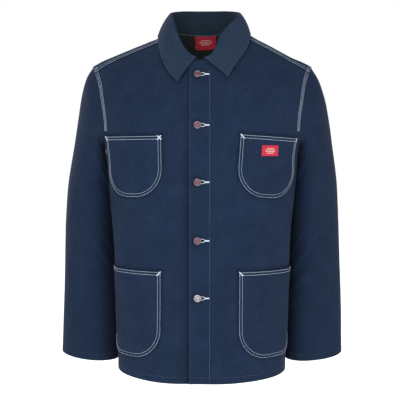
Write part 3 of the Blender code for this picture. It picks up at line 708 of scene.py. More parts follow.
def shell(
    name, outer, inner, materials, tube=False, free="", facing=None, front_facing=None, unfaded=None
):
    """A closed cloth wall between a grid of outer points and a grid of inner points.

    The edges named in free are rounded: b and t are the first and last row, l and r the first and
    last column. Inner faces take the second material where facing, a grid of shares, is over a half.
    The painted shade is a grid of shares too, of how dark the outer cloth is painted where shade falls.
    """
    rows, columns = outer.shape[:2]
    spread = outer if not tube else np.concatenate([outer, outer[:, :1]], axis=1)
    cloth_map = np.stack([lengths(spread, 1), lengths(spread, 0)], axis=-1) * MM
    index = np.arange(rows * columns).reshape(rows, columns)
    if tube:
        index = np.concatenate([index, index[:, :1]], axis=1)
    wide = index.shape[1]
    j, i = np.meshgrid(np.arange(rows - 1), np.arange(wide - 1), indexing="ij")
    corner_rows = np.stack([j, j, j + 1, j + 1], axis=-1).reshape(-1, 4)
    corner_columns = np.stack([i, i + 1, i + 1, i], axis=-1).reshape(-1, 4)
    outside = index[corner_rows, corner_columns]
    outside_map = cloth_map[corner_rows, corner_columns]
    dark = np.zeros((rows, columns)) if unfaded is None else unfaded
    darks = [dark[corner_rows, corner_columns % columns].reshape(-1)]
    inside = outside[:, ::-1] + rows * columns
    inside_map = outside_map[:, ::-1]
    points = [outer.reshape(-1, 3), inner.reshape(-1, 3)]
    faces, maps = [outside, inside], [outside_map, inside_map]
    slots = [np.zeros(len(outside), int)]
    if front_facing is not None:
        slots = [(front_facing[corner_rows[:, 0], corner_columns[:, 0]] > 0.5).astype(int)]
    if facing is None:
        slots.append(np.ones(len(inside), int))
    else:
        slots.append((facing[corner_rows[:, 0], corner_columns[:, 0] % columns] > 0.5).astype(int))
    count = 2 * rows * columns
    thick = np.linalg.norm(outer - inner, axis=-1)
    edges = [("b", 0, 0, False), ("t", 0, -1, True)]
    if not tube:
        edges += [("l", 1, 0, False), ("r", 1, -1, True)]
    for letter, axis, at, end in edges:
        top, bottom = np.take(outer, at, axis=axis), np.take(inner, at, axis=axis)
        bulge = away_from(outer, axis, end) * (0.42 * np.take(thick, at, axis=axis)[:, None])
        middle = (top + bottom) / 2 + (bulge if letter in free else 0)
        line = np.take(index, at, axis=axis)
        line_map = np.take(cloth_map, at, axis=axis)
        middle_line = count + np.arange(len(middle))
        if tube:
            middle_line = np.append(middle_line, count)
        points.append(middle)
        count += len(middle)
        turned = letter in "br"
        for above, below in ((line, middle_line), (middle_line, line + rows * columns)):
            quad = np.stack([above[:-1], above[1:], below[1:], below[:-1]], axis=-1)
            quad_map = np.stack([line_map[:-1], line_map[1:], line_map[1:], line_map[:-1]], axis=1)
            faces.append(quad if not turned else quad[:, ::-1])
            maps.append(quad_map if not turned else quad_map[:, ::-1])
            slots.append(np.zeros(len(quad), int))
    corners = sum(face.size for face in faces)
    darks.append(np.zeros(corners - len(darks[0])))
    return mesh_object(
        name, np.concatenate(points), faces, maps, slots, materials, tube, np.concatenate(darks)
    )


def mesh_object(name, points, faces, maps, slots, materials, tube, darks):
    """An object from point and face arrays, with its faces outward, its cloth map and its finishes."""
    faces, maps, slots = np.concatenate(faces), np.concatenate(maps), np.concatenate(slots)
    mesh = bpy.data.meshes.new(name)
    mesh.from_pydata((points * MM).tolist(), [], faces.tolist())
    layer = mesh.uv_layers.new(name="cloth")
    layer.data.foreach_set("uv", maps.reshape(-1).astype(np.float32))
    # painted shade: a corner attribute that darkens the denim where shade falls
    share = mesh.attributes.new("unfaded", "FLOAT", "CORNER")
    share.data.foreach_set("value", darks.astype(np.float32))
    mesh.polygons.foreach_set("material_index", slots.astype(np.int32))
    for material in materials:
        mesh.materials.append(material)
    body = bmesh.new()
    body.from_mesh(mesh)
    if not tube:
        corners = [v for v in body.verts if v.is_boundary]
        bmesh.ops.remove_doubles(body, verts=corners, dist=0.00002)
        loose = [e for e in body.edges if e.is_boundary]
        if loose:
            bmesh.ops.holes_fill(body, edges=loose, sides=12)
    bmesh.ops.recalc_face_normals(body, faces=body.faces)
    body.to_mesh(mesh)
    body.free()
    mesh.shade_smooth()
    return put(name, mesh)


def put(name, data):
    """A new object in the scene."""
    thing = bpy.data.objects.new(name, data)
    bpy.context.scene.collection.objects.link(thing)
    return thing


def dress(thing, slot, *nodes):
    """Makes a piece ride on the jacket and stand for its solids, which it hides. The slot is not used.
    """
    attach(thing, BODY_NAME)
    if nodes:
        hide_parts(*nodes)
    return thing


# ---- finishes


WAVE_SCALE = 0.314  # of a wave texture, times the distance between its bands
TWILL_ANGLE = math.radians(62)
PAINTED_SHADE_SHARE = 0.22  # of the warp's colour, where the painted shade is fullest
# painted shade: the stand inside the neck gets a darker copy of the denim
STAND_SHADE_COLOUR, STAND_SHADE_PALE = (0.0065, 0.0145, 0.0245), (0.0150, 0.0290, 0.0450)
LINING_SHADE, LINING_PITCH = (0.003, 0.005, 0.006), 0.0009
LABEL_SHADE, LABEL_PITCH = (0.24, 0.008, 0.016), 0.0007
COPPER_TARNISH = (0.16, 0.075, 0.08)
RIM_TARNISH = (0.17, 0.11, 0.14)
SILVER_TARNISH = (0.22, 0.19, 0.22)


def add(tree, kind, inputs=(), **settings):
    """A node with its settings and its named or numbered inputs."""
    node = tree.nodes.new(kind)
    for name, value in settings.items():
        setattr(node, name, value)
    for name, value in dict(inputs).items():
        if isinstance(value, bpy.types.NodeSocket):
            tree.links.new(value, node.inputs[name])
        else:
            node.inputs[name].default_value = value
    return node


def finish(name, roughness, metallic=0.0):
    """A new material with its tree and its shader node."""
    made = bpy.data.materials.new(name)
    made.use_nodes = True
    shader = made.node_tree.nodes["Principled BSDF"]
    shader.inputs["Roughness"].default_value = roughness
    shader.inputs["Metallic"].default_value = metallic
    return made, made.node_tree, shader


def maths(tree, operation, first, second):
    """A maths node's value."""
    return add(tree, "ShaderNodeMath", {0: first, 1: second}, operation=operation).outputs[0]


def noise(tree, vector, scale, detail):
    """A noise's value."""
    inputs = {"Vector": vector, "Scale": scale, "Detail": detail}
    return add(tree, "ShaderNodeTexNoise", inputs).outputs["Fac"]


def paint(tree, shader, share, first, second):
    """Gives a shader a colour between two colours, each a socket or red, green and blue."""
    ends = [c if isinstance(c, bpy.types.NodeSocket) else (*c, 1) for c in (first, second)]
    mixed = add(tree, "ShaderNodeMix", {0: share, 6: ends[0], 7: ends[1]}, data_type="RGBA")
    tree.links.new(mixed.outputs[2], shader.inputs["Base Color"])
    return mixed.outputs[2]


def emboss(tree, shader, height, strength, distance):
    """Gives a shader the relief of a height."""
    inputs = {"Height": height, "Strength": strength, "Distance": distance}
    tree.links.new(add(tree, "ShaderNodeBump", inputs).outputs[0], shader.inputs["Normal"])


def denim(name, colour, pale):
    """Navy twill: steep diagonal ribs, uneven yarns, pale weft flecks and soft cloudy fading, darkened
    by the painted shade that a piece carries as a corner attribute.
    """
    made, tree, shader = finish(name, 0.92)
    cloth = add(tree, "ShaderNodeUVMap", uv_map="cloth").outputs[0]
    place = add(tree, "ShaderNodeTexCoord").outputs["Object"]
    turned = add(tree, "ShaderNodeMapping", {"Vector": cloth, "Rotation": (0, 0, TWILL_ANGLE)})
    scale = WAVE_SCALE / bpy.context.scene.jacket_cloth.twill_pitch
    ribs = add(
        tree, "ShaderNodeTexWave",
        {"Vector": turned.outputs[0], "Scale": scale, "Distortion": 1.6, "Detail": 1.0,
         "Detail Scale": 1.5},
        bands_direction="X",
    ).outputs["Fac"]
    yarns = add(tree, "ShaderNodeMapping", {"Vector": cloth, "Scale": (1, 0.06, 1)})
    yarn = noise(tree, yarns.outputs[0], 1100.0, 2.0)
    heather, clouds = noise(tree, place, 260.0, 3.0), noise(tree, place, 26.0, 4.0)
    grain = maths(tree, "ADD", maths(tree, "MULTIPLY", ribs, 0.45), yarn)
    fleck = maths(tree, "MULTIPLY", maths(tree, "MULTIPLY", grain, 0.55), 0.75)
    heather, clouds = maths(tree, "MULTIPLY", heather, 1.2), maths(tree, "MULTIPLY", clouds, 0.75)
    drift = maths(tree, "SUBTRACT", maths(tree, "ADD", heather, clouds), 1.0)
    mix = add(tree, "ShaderNodeClamp", {"Value": maths(tree, "ADD", fleck, drift)}).outputs[0]
    faded = paint(tree, shader, mix, colour, pale)
    # painted shade: the cloth darkens towards a share of the warp's colour where the piece's corner
    # attribute is high
    unfaded = add(tree, "ShaderNodeAttribute", attribute_name="unfaded").outputs["Fac"]
    paint(tree, shader, unfaded, faded, tuple(PAINTED_SHADE_SHARE * c for c in colour))
    relief = maths(tree, "ADD", ribs, maths(tree, "MULTIPLY", yarn, 0.6))
    emboss(tree, shader, relief, 0.35, 0.00025)
    shader.inputs["Specular IOR Level"].default_value = 0.12
    shader.inputs["Sheen Weight"].default_value = 0.04
    shader.inputs["Sheen Roughness"].default_value = 0.45
    shader.inputs["Sheen Tint"].default_value = (0.50, 0.62, 0.85, 1)
    return made


def woven(name, colour, shade, pitch, roughness):
    """A plain weave: fine crossed yarns over a colour that drifts a little."""
    made, tree, shader = finish(name, roughness)
    cloth = add(tree, "ShaderNodeUVMap", uv_map="cloth").outputs[0]
    inputs = {"Vector": cloth, "Scale": WAVE_SCALE / pitch, "Distortion": 0.8}
    waves = [
        add(tree, "ShaderNodeTexWave", inputs, bands_direction=direction).outputs["Fac"]
        for direction in ("X", "Y")
    ]
    weave = maths(tree, "MULTIPLY", *waves)
    mix = maths(tree, "MULTIPLY", maths(tree, "ADD", weave, noise(tree, cloth, 90.0, 3.0)), 0.55)
    paint(tree, shader, mix, shade, colour)
    emboss(tree, shader, weave, 0.3, 0.0002)
    shader.inputs["Specular IOR Level"].default_value = 0.25
    shader.inputs["Sheen Weight"].default_value = 0.1
    return made


def thread(name, colour):
    """Twisted sewing thread."""
    made, tree, shader = finish(name, 0.6)
    twist = noise(tree, add(tree, "ShaderNodeTexCoord").outputs["Object"], 900.0, 2.0)
    paint(tree, shader, twist, tuple(0.7 * c for c in colour), colour)
    emboss(tree, shader, twist, 0.25, 0.0001)
    shader.inputs["Sheen Weight"].default_value = 0.2
    return made


def metal(name, colour, tarnish, roughness):
    """Plated metal, darker and rougher where it is tarnished."""
    made, tree, shader = finish(name, roughness, 0.85)
    worn = noise(tree, add(tree, "ShaderNodeTexCoord").outputs["Object"], 420.0, 4.0)
    limits = {"Value": worn, "From Min": 0.38, "From Max": 0.62}
    share = add(tree, "ShaderNodeMapRange", limits).outputs[0]
    paint(tree, shader, share, tarnish, colour)
    limits = {"Value": share, "To Min": roughness + 0.16, "To Max": roughness}
    rough = add(tree, "ShaderNodeMapRange", limits)
    tree.links.new(rough.outputs[0], shader.inputs["Roughness"])
    return made


@lru_cache(maxsize=None)
def material(name):
    """The jacket's finishes by name, each made once."""
    scene = bpy.context.scene
    cloth, sewing, trim = scene.jacket_cloth, scene.jacket_sewing, scene.jacket_trim
    make, *details = {
        "denim": (denim, "denim_twill", cloth.denim_colour, cloth.denim_pale),
        "collar": (denim, "denim_collar", cloth.collar_colour, cloth.collar_pale),
        # painted shade: a darker copy of the denim for the stand inside the neck
        "stand": (denim, "denim_stand", STAND_SHADE_COLOUR, STAND_SHADE_PALE),
        "lining": (woven, "lining_cloth", cloth.lining_colour, LINING_SHADE, LINING_PITCH, 0.85),
        "label": (woven, "label_weave", trim.label_colour, LABEL_SHADE, LABEL_PITCH, 0.7),
        "white": (thread, "thread_white", sewing.white_thread),
        "worn": (thread, "thread_worn", sewing.worn_thread),
        "tone": (thread, "thread_navy", sewing.tone_thread),
        "cream": (thread, "thread_cream", trim.cream_thread),
        "copper": (metal, "worn_copper", trim.copper_colour, COPPER_TARNISH, 0.36),
        "rim": (metal, "worn_rim", trim.rim_colour, RIM_TARNISH, 0.3),
        "silver": (metal, "worn_silver", trim.silver_colour, SILVER_TARNISH, 0.32),
    }[name]
    return make(*details)


# ---- panels of the body


def patch(bottom, top, inner, outer, u, v):
    """Places over a four-sided region, from the places along its four sides."""
    u, v = u[None, :, None], v[:, None, None]
    rows = (1 - v) * bottom[None] + v * top[None]
    columns = (1 - u) * inner[:, None] + u * outer[:, None]
    corners = (1 - v) * ((1 - u) * bottom[0] + u * bottom[-1]) + v * (
        (1 - u) * top[0] + u * top[-1]
    )
    return rows + columns - corners


def front_neck(u, edge):
    """Neckline of a front at shares of its columns: a short corner, then round to the shoulder."""
    start = neck_point(np.radians(np.array([178.0])))[0]
    corner = np.array([edge, start[1], start[2] - 4.5])
    along = (u - FRONT_CORNER_SHARE) / (FRONT_NECK_SHARE - FRONT_CORNER_SHARE)
    line = neck_point(np.radians(178 - 88 * np.clip(along, 0, 1)))
    straight = corner + (start - corner) * np.clip(u / FRONT_CORNER_SHARE, 0, 1)[:, None]
    return np.where((u < FRONT_CORNER_SHARE)[:, None], straight, line)


def back_neck(u, edge):
    """Neckline of half the back at shares of its columns."""
    return neck_point(np.radians(90 * np.clip(u / BACK_NECK_SHARE, 0, 1)))


def panel_places(side, edge, u, low, high, hand, hem=HEM):
    """(turn, roll) places of half a body panel, from its inner edge out and from the hem up."""
    neck_share, neck_line = (
        (FRONT_NECK_SHARE, front_neck) if side == FRONT else (BACK_NECK_SHARE, back_neck)
    )
    rows = []
    for share in 1 - low:
        height = ARMPIT + share * (hem - ARMPIT)
        start = math.asin(edge / half_width(height))
        turns = start + (math.pi / 2 - start) * u
        heights = height - HEM_DIP * share * np.cos(turns) ** 2
        heights = heights + SIDE_RISE[hand] * share * np.sin(turns) ** 4
        rows.append(form_place(half_width(heights) * np.sin(turns), heights, side))
    rows = np.array(rows)
    rows[:, -1, 0] = math.pi / 2
    neck = neck_line(u, edge)
    over = np.clip((u - neck_share) / (1 - neck_share), 0, 1)
    shoulder = NECK_HALF_WIDTH + (ARMHOLE[-1].front - NECK_HALF_WIDTH) * over
    at_neck = u <= neck_share
    across = np.where(at_neck, neck[:, 0], shoulder)
    height = np.where(at_neck, neck[:, 2], ridge(shoulder, side))
    top = form_place(across, height, side)
    angles = math.pi * (1 - high) if side == FRONT else math.pi * (1 + high)
    seam = armhole_points(np.clip(angles, 0, 2 * math.pi - 1e-9))
    outer = form_place(seam[:, 0], seam[:, 2], side)
    outer[0], outer[-1] = rows[-1, -1], top[-1]
    heights = ARMPIT + high * (height[0] - ARMPIT)
    inner = form_place(np.full_like(heights, across[0]), heights, side)
    inner[0], inner[-1] = rows[-1, 0], top[0]
    inner[1:-1, 0] = np.arcsin((edge + high * (across[0] - edge))[1:-1] / half_width(heights[1:-1]))
    return np.concatenate([rows, patch(rows[-1], top, inner, outer, u, high)[1:]])


def panel_layers(places, side, hand, low_count, high):
    """Outer and inner points of a body panel, on its own hand."""
    outer, normals = on_body(places, side, hand)
    into = normals.copy()
    angles = math.pi * (1 - high) if side == FRONT else math.pi * (1 + high)
    halfway = halfway_at(np.clip(angles, 0, 2 * math.pi - 1e-9)) * np.array([hand, 1, 1])
    rows = slice(low_count, None)
    reach = lengths_left(outer[rows], 1)
    share = 1 - ease(reach / 9)[..., None]
    into[rows] = unit(into[rows] * (1 - share) + halfway[:, None] * share)
    inner = outer - into * DENIM_WALL
    inner[..., 1] = np.where(
        side * inner[..., 1] < SEAM_GAP / 2, side * SEAM_GAP / 2, inner[..., 1]
    )
    return outer, inner


def low_shares():
    """Rows from the hem up to the armpit, closer near the hem."""
    return shares(LOW_ROWS, (0, 0.03, 3.5), (1, 0.03, 1.6))


def high_shares():
    """Rows from the armpit up to the shoulder."""
    return shares(HIGH_ROWS, (1, 0.04, 1.5))


def beside_lines(points, lines, reach):
    """Shares that fade with the distance from the nearest of some lines of points."""
    flat = points.reshape(-1, 3)
    near = np.full(len(flat), 1e9)
    for spot in np.concatenate(lines):
        near = np.minimum(near, ((flat - spot) ** 2).sum(axis=1))
    return np.exp(-near / reach**2).reshape(points.shape[:2])


def front_painted_shade(points, hand):
    """Painted shade on a front: under the edges of the collar, just outside the pockets and above their
    mouths, along the side below the armpit, beside the lap and round the buttons.
    """
    leaf = collar_layers()[0]
    rows = np.where(np.sign(leaf[:, -1, 0]) == hand)[0]
    edges = [leaf[rows, -1], leaf[rows[0] if hand < 0 else rows[-1], 26:]]
    # painted shadow under the edges of the collar's leaf
    share = 0.62 * beside_lines(points, edges, 6.5)
    own = [pocket for pocket in POCKETS if pocket.side == hand]
    around = [on_pocket(pocket, *pocket_outline(pocket, -1.5, 24).T, -2)[0] for pocket in own]
    mouths = [
        on_pocket(pocket, np.linspace(0, pocket.width, 40), np.full(40, -2.5), -2)[0]
        for pocket in own
    ]
    # painted shadow just outside each pocket's edge and just above its mouth
    share = share + 0.3 * beside_lines(points, around, 4.5) + 0.25 * beside_lines(points, mouths, 5)
    # painted shade along the side of the front below the armpit, next to the sleeve
    share = share + 0.5 * (1 - ease(-points[..., 1] / 42)) * ease((ARMPIT - points[..., 2]) / 60)
    if hand < 0:
        # painted shadow on the button front beside the edge of the lap, as deep as LAP_SHADE gives
        past = np.maximum(-BUTTONHOLE_EDGE - points[..., 0], 0)
        deep = np.interp(-points[..., 2], LAP_SHADE_AT, LAP_SHADE)
        share = share + deep * np.exp(-past / 8.5)
    else:
        # painted shadow round each button on the buttonhole front
        caps = [np.array([button_frame(height)[0]]) for height in BUTTON_HEIGHTS]
        share = share + 0.75 * beside_lines(points, caps, 10.5)
    return np.clip(share, 0, 0.9)


def front_panel(name, hand, past_centre):
    """One front, with its facing turned in along the edge."""
    marks = [(0, 0.02, 4), (1, 0.03, 3.5)]
    if hand > 0:
        marks.append((0.13, 0.014, 3))
    u = shares(FRONT_COLUMNS, *marks)
    low, high = low_shares(), high_shares()
    places = panel_places(FRONT, -past_centre, u, low, high, hand)
    outer, inner = panel_layers(places, FRONT, hand, LOW_ROWS, high)
    from_edge = lengths(outer, 1)
    from_hem = lengths(outer, 0)
    lined = np.minimum(from_edge - FACING_WIDTH, from_hem - LINING_HEM) > 0
    return shell(
        name, outer, inner, [material("denim"), material("lining")], free="bl",
        facing=lined.astype(float), unfaded=front_painted_shade(outer, hand),
    )


def whole_panel(make):
    """Both halves of the back, each with its own creases, joined at the centre line."""
    left, right = make(1), make(-1)
    joined = []
    for a, b in zip(left, right):
        b = b.copy()
        b[:, 0] = a[:, 0]
        joined.append(np.concatenate([b[:, :0:-1], a], axis=1))
    return joined


def back_shares():
    """Columns of half the back, closer near the side."""
    return shares(BACK_COLUMNS, (1, 0.03, 3.5))


def back_panel():
    """The one-piece back, up to the shoulder line."""
    low, high = low_shares(), high_shares()

    def half(hand):
        places = panel_places(BACK, 0, back_shares(), low, high, hand)
        return panel_layers(places, BACK, hand, LOW_ROWS, high)

    outer, inner = whole_panel(half)
    from_hem = lengths(outer, 0)
    return shell(
        "back_cloth", outer, inner, [material("denim"), material("lining")], free="b",
        facing=(from_hem > LINING_HEM).astype(float),
    )


def strip_place(across_share, forward):
    """Place on the fronts at a share of the way from the neck out to the armhole."""
    forward = forward * (1 - STRIP_NARROWS * across_share)
    neck_turn = math.pi / 2 + np.arcsin(np.clip(forward / NECK_FRONT, 0, 1))
    neck_x = NECK_HALF_WIDTH * np.sin(neck_turn)
    trace = armhole_points(np.linspace(0, math.pi / 2, 200))
    arm_x = np.interp(forward, -trace[:, 1], trace[:, 0])
    across = neck_x + (arm_x - neck_x) * across_share
    height = shoulder_height(across, forward, FRONT)
    return form_place(across, height, FRONT)


def strip_above(forward):
    """Rise of the back's lap above the fronts, from the shoulder line forward."""
    return STRIP_RISE * ease((forward + 2) / 8) + 0.15 * bell(forward - 33, 3)


def shoulder_strip(hand):
    """The back's edge where it comes over the shoulder and is felled down on the front."""
    u = shares(64, (1, 0.04, 3), (0, 0.04, 1.5))
    forward = STRIP_REACH * shares(STRIP_ROWS, (1, 0.12, 3))
    share, ahead = np.meshgrid(u, forward)
    places = strip_place(share, ahead)
    places[0, :, 1] = 0.002
    pucker = 0.12 * np.sin(share * 130 + 3 * np.sin(share * 17)) * bell(ahead - 29, 7)
    outer, normals = on_body(places, FRONT, hand, strip_above(ahead) + pucker)
    inner = outer - normals * (strip_above(ahead) - 0.25)[..., None].clip(0.15, 1.5)
    return outer, inner


def lining_layers():
    """Outer and inner points of the back's lining, with the shares of its columns and rows."""
    u, low, high = shares(48), shares(60), shares(44)
    above = np.concatenate([np.zeros(60), high]) / (8 / 11)
    aside = (u - 1 / 12) / (2 / 12)
    near_seam = ease(above)[:, None] * (1 - ease(aside))[None, :]
    gap = LINING_GAP + (LINING_SEAM_GAP - LINING_GAP) * near_seam

    def half(hand):
        places = panel_places(BACK, 0, u, low, high, hand, HEM + LINING_HEM)
        places[..., 0] *= 1 - LINING_EDGE * (places[..., 0] * 2 / math.pi) ** 4
        places[..., 1] = np.maximum(places[..., 1], LINING_ROLL)
        points, normals = form_points(places, BACK), form_normals(places, BACK)
        points[..., 0] *= hand
        normals[..., 0] *= hand
        lift = body_relief(points) - DENIM_WALL - gap
        outer = points + normals * lift[..., None]
        return outer, outer - normals * LINING_WALL

    outer, inner = whole_panel(half)
    return outer, inner, u, high


# ---- sleeves


def sleeve_lift(angle, along, total, hand):
    """Rise of a sleeve's cloth at an angle round it and a distance down it."""
    look = bpy.context.scene.jacket_cloth
    creases = [
        c._replace(around=SLEEVE_REACH * math.radians(c.around))
        for c in (LEFT_SLEEVE_CREASES if hand > 0 else RIGHT_SLEEVE_CREASES)
    ]
    lift = look.crease_strength * crease_lift(
        SLEEVE_REACH * angle, along, creases, 2 * math.pi * SLEEVE_REACH
    )
    phase = 0.0 if hand > 0 else 1.9
    lift += 0.5 * np.sin(2 * angle + along / 62 + phase) + 0.35 * np.sin(3 * angle - along / 47 + phase)
    lift += crinkle(angle + phase, along, 0.15)
    up = total - along
    lift *= ease((along - 2) / 24)
    if hand > 0:
        full = smooth(along, np.array(LEFT_FULL_AT, float), np.array(LEFT_FULL))
        lift += full * np.clip(np.cos(angle), 0, 1)
    lift += 0.3 * (1 - ease((up - CUFF_BAND) / 3)) + groove(up - CUFF_BAND, 1.6, 0.35)
    lift += 0.15 * np.sin(38 * angle + 2 * np.sin(5 * angle)) * bell(up - 8, 8)
    return lift


@lru_cache(maxsize=None)
def sleeve_layers(hand):
    """Outer and inner points of a sleeve on its own hand, and its outward normals."""
    grid, normals = sleeve_grid()
    halfway = seam_halfway()
    along = lengths(grid, 0)
    angle = np.broadcast_to(ring_angles(), along.shape)
    total = along[-1:]
    around = np.roll(grid[0], -1, axis=0) - np.roll(grid[0], 1, axis=0)
    away = unit(np.cross(halfway, around))
    towards_cuff = grid[SLEEVE_ROWS // 17].mean(axis=0) - grid[0].mean(axis=0)
    away *= np.sign(away @ towards_cuff)[:, None]
    outer = grid + normals * sleeve_lift(angle, along, total, hand)[..., None]
    outer[0] = grid[0] + away * SEAM_GAP
    outer[1] = (outer[0] + outer[2]) / 2
    outer[..., 2] += CUFF_RISE[hand] * ease((along / total - 0.75) / 0.25)
    share = 1 - ease(along / 9)[..., None]
    into = unit(normals * (1 - share) + halfway[None] * share)
    inner = outer - into * DENIM_WALL
    turned = np.array([hand, 1, 1])
    return outer * turned, inner * turned, normals * turned


def sleeve(name, hand):
    """A sleeve from the armhole seam to the cuff."""
    outer, inner, _ = sleeve_layers(hand)
    from_cuff = lengths_left(outer, 0)
    # painted shade: a little over the whole sleeve, and more on its inner side towards the body, below
    # the armhole
    angle = np.degrees(ring_angles())[None]
    inward = ease((angle - 96) / 62) * (1 - ease((angle - 225) / 60))
    unfaded = 0.12 + 0.6 * inward * ease((lengths(outer, 0) - 60) / 180)
    return shell(
        name, outer, inner, [material("denim"), material("lining")], tube=True, free="t",
        facing=(from_cuff > LINING_HEM).astype(float), unfaded=np.clip(unfaded, 0, 0.9),
    )


# ---- collar


def collar_sections(foot, fold, edge, up):
    """Sections of the collar, one a row: the stand, the fold and the leaf."""
    outward = edge - foot
    outward = unit(outward - up * (outward * up).sum(axis=1, keepdims=True))
    radius = np.minimum(FOLD_RADIUS, 0.5 * np.linalg.norm(fold - foot, axis=1) + 1.2)[:, None]
    top = fold - radius * up
    stand = [foot + (top - foot) * s for s in np.linspace(0, 1, STAND_STEPS + 1)[:-1]]
    centre = top + radius * outward
    bends = np.linspace(0, FOLD_SWEEP, FOLD_STEPS + 1)
    turned = [centre + radius * (up * math.sin(b) - outward * math.cos(b)) for b in bends]
    leave = outward * math.sin(FOLD_SWEEP) + up * math.cos(FOLD_SWEEP)
    start, span = turned[-1], np.linalg.norm(edge - turned[-1], axis=1)[:, None]
    belly = unit(np.cross(np.cross(edge - start, up), edge - start))
    belly *= np.sign((belly * outward).sum(axis=1, keepdims=True))
    leaf = []
    for s in np.linspace(0, 1, LEAF_STEPS + 1)[1:]:
        straight = start + (edge - start) * s
        bulge = belly * LEAF_CROWN * 4 * s * (1 - s) * 0.5
        leaf.append(straight + bulge + leave * span * 0.12 * s * (1 - s) ** 2)
    return np.stack(stand + turned + leaf, axis=1)


def collar_settle(points, angles, clear):
    """The collar's points, moved out where they are too near to the shoulders."""
    settled = points.copy()
    for side, rows in ((BACK, np.abs(angles) < 90), (FRONT, np.abs(angles) >= 90)):
        near = points[rows]
        wanted = clear[rows].reshape((-1,) + (1,) * (near.ndim - 2)) + shoulder_tilt(near)
        settled[rows] = settle(near, side, wanted)
    return settled


def collar_middle():
    """Middle surface of the collar's wall: one row for each step round the neck."""
    angles = np.linspace(-COLLAR_END, COLLAR_END, COLLAR_COLUMNS + 1)
    turn = np.abs(angles)
    stations = column(COLLAR, "angle")
    read = {name: smooth(turn, stations, column(COLLAR, name)) for name in CollarRow._fields[1:]}
    hand = np.sign(angles)
    right = hand < 0
    round_neck = np.radians(np.where(right, angles * RIGHT_END / COLLAR_END, angles))
    base = neck_point(round_neck)
    lift, raised = np.empty_like(base), np.zeros_like(turn)
    for side, rows in ((BACK, turn < 90), (FRONT, turn >= 90)):
        lift[rows] = form_normals(form_place(base[rows, 0], base[rows, 2], side), side)
        if side == FRONT:
            raised[rows] = lap(np.abs(base[rows, 0]), LAP_RAISE)
    foot = base + lift * (COLLAR_WALL / 2 + 2 * SEAM_GAP + raised)[:, None]
    outward = unit(
        np.stack([np.sin(round_neck) / NECK_HALF_WIDTH, np.cos(round_neck) / NECK_FRONT,
                  np.zeros_like(turn)], axis=1)
    )
    up = unit(np.array([0, 0, 1.0]) + read["lean"][:, None] * outward)
    stand = read["stand"] + NAPE_RISE * bell(turn, 52)
    fold = foot + stand[:, None] * up
    edge = np.stack([hand * read["edge_x"], read["edge_y"], read["edge_z"]], axis=1)
    high = 1 - ease((turn - 110) / 60)
    fold[:, 0] += COLLAR_SHIFT * high
    fold[:, 0] -= LEFT_LEAN * bell(angles - LEFT_LEAN_AT, LEFT_LEAN_REACH)
    edge[:, 0] += np.where(right, 0.15, 1.0) * COLLAR_SHIFT * high
    edge[:, 2] += LEFT_RISE * ease((angles - 100) / 40)
    tip = ease((turn - 166) / 11)
    widened = RIGHT_WIDE * ease((turn - 115) / 40) * (1 - tip)
    edge[:, 0] += np.where(right, RIGHT_TIP[0] * tip - widened, 0)
    lowered = RIGHT_TIP[1] * ease((turn - 130) / 40) - RIGHT_SINK * bell(turn - 88, 28)
    edge[:, 2] += np.where(right, lowered, 0)
    clear = LEAF_CLEAR + raised
    edge = collar_settle(edge, angles, clear)
    sections = collar_sections(foot, fold, edge, up)
    leaf = slice(-LEAF_STEPS, None)
    sections[:, leaf] = collar_settle(sections[:, leaf], angles, clear)
    return sections


@lru_cache(maxsize=None)
def collar_layers():
    """Outer and inner points of the collar, laid finely through the solid's own rows."""
    coarse = collar_middle()
    rows = np.arange(coarse.shape[0], dtype=float)
    across = np.arange(coarse.shape[1], dtype=float)
    u = shares(COLLAR_AROUND, (0, 0.01, 4), (1, 0.01, 4)) * rows[-1]
    v = shares(COLLAR_ACROSS, (1, 0.03, 3), (0.45, 0.1, 1.6)) * across[-1]
    middle = smooth(u, rows, coarse)
    middle = smooth(v, across, middle.transpose(1, 0, 2)).transpose(1, 0, 2)
    normals = unit(np.cross(np.gradient(middle, axis=0), np.gradient(middle, axis=1)))
    from_edge = lengths_left(middle, 1)
    from_ends = np.minimum(lengths(middle, 0), lengths_left(middle, 0))
    leaf = ease((v / across[-1] - 0.5) / 0.1)[None, :]
    inset = np.minimum(from_edge, from_ends + 400 * (1 - leaf))
    run = lengths(middle, 0)
    puff = 0.3 * bell(inset - 1.6, 1.6) - 0.28 * bell(inset - 5, 1.3)
    puff = puff * leaf + 0.10 * leaf * np.sin(run / 3.3 + 2 * np.sin(run / 29)) * bell(inset - 6, 5)
    soft = 0.35 * leaf * np.sin(run / 27 + 1) * np.sin(from_edge / 13 + run / 60)
    shifted = middle + normals * soft[..., None]
    half = normals * (COLLAR_WALL / 2 + puff)[..., None]
    stand = (v[None, :] / across[-1] < 0.40) * np.ones_like(inset)
    return shifted + half, shifted - half, normals, stand


# ---- what lies on the fronts


def front_place(girth, height):
    """(turn, roll) places on the front at distances round the body from the centre line."""
    shape = np.shape(girth)
    girth, height = np.ravel(girth), np.ravel(height)
    turns = np.linspace(0, math.pi / 2, 181)
    across = half_width(height)[:, None] * np.sin(turns)[None]
    out = depth(across, np.broadcast_to(height[:, None], across.shape), FRONT)
    steps = np.hypot(np.diff(across, axis=1), np.diff(out, axis=1))
    reach = np.concatenate([np.zeros((len(girth), 1)), np.cumsum(steps, axis=1)], axis=1)
    k = np.clip((reach <= np.abs(girth)[:, None]).sum(axis=1) - 1, 0, 179)
    row = np.arange(len(girth))
    t = (np.abs(girth) - reach[row, k]) / (reach[row, k + 1] - reach[row, k])
    found = (across[row, k] * (1 - t) + across[row, k + 1] * t) * np.sign(girth)
    return form_place(found, height, FRONT).reshape(shape + (2,))


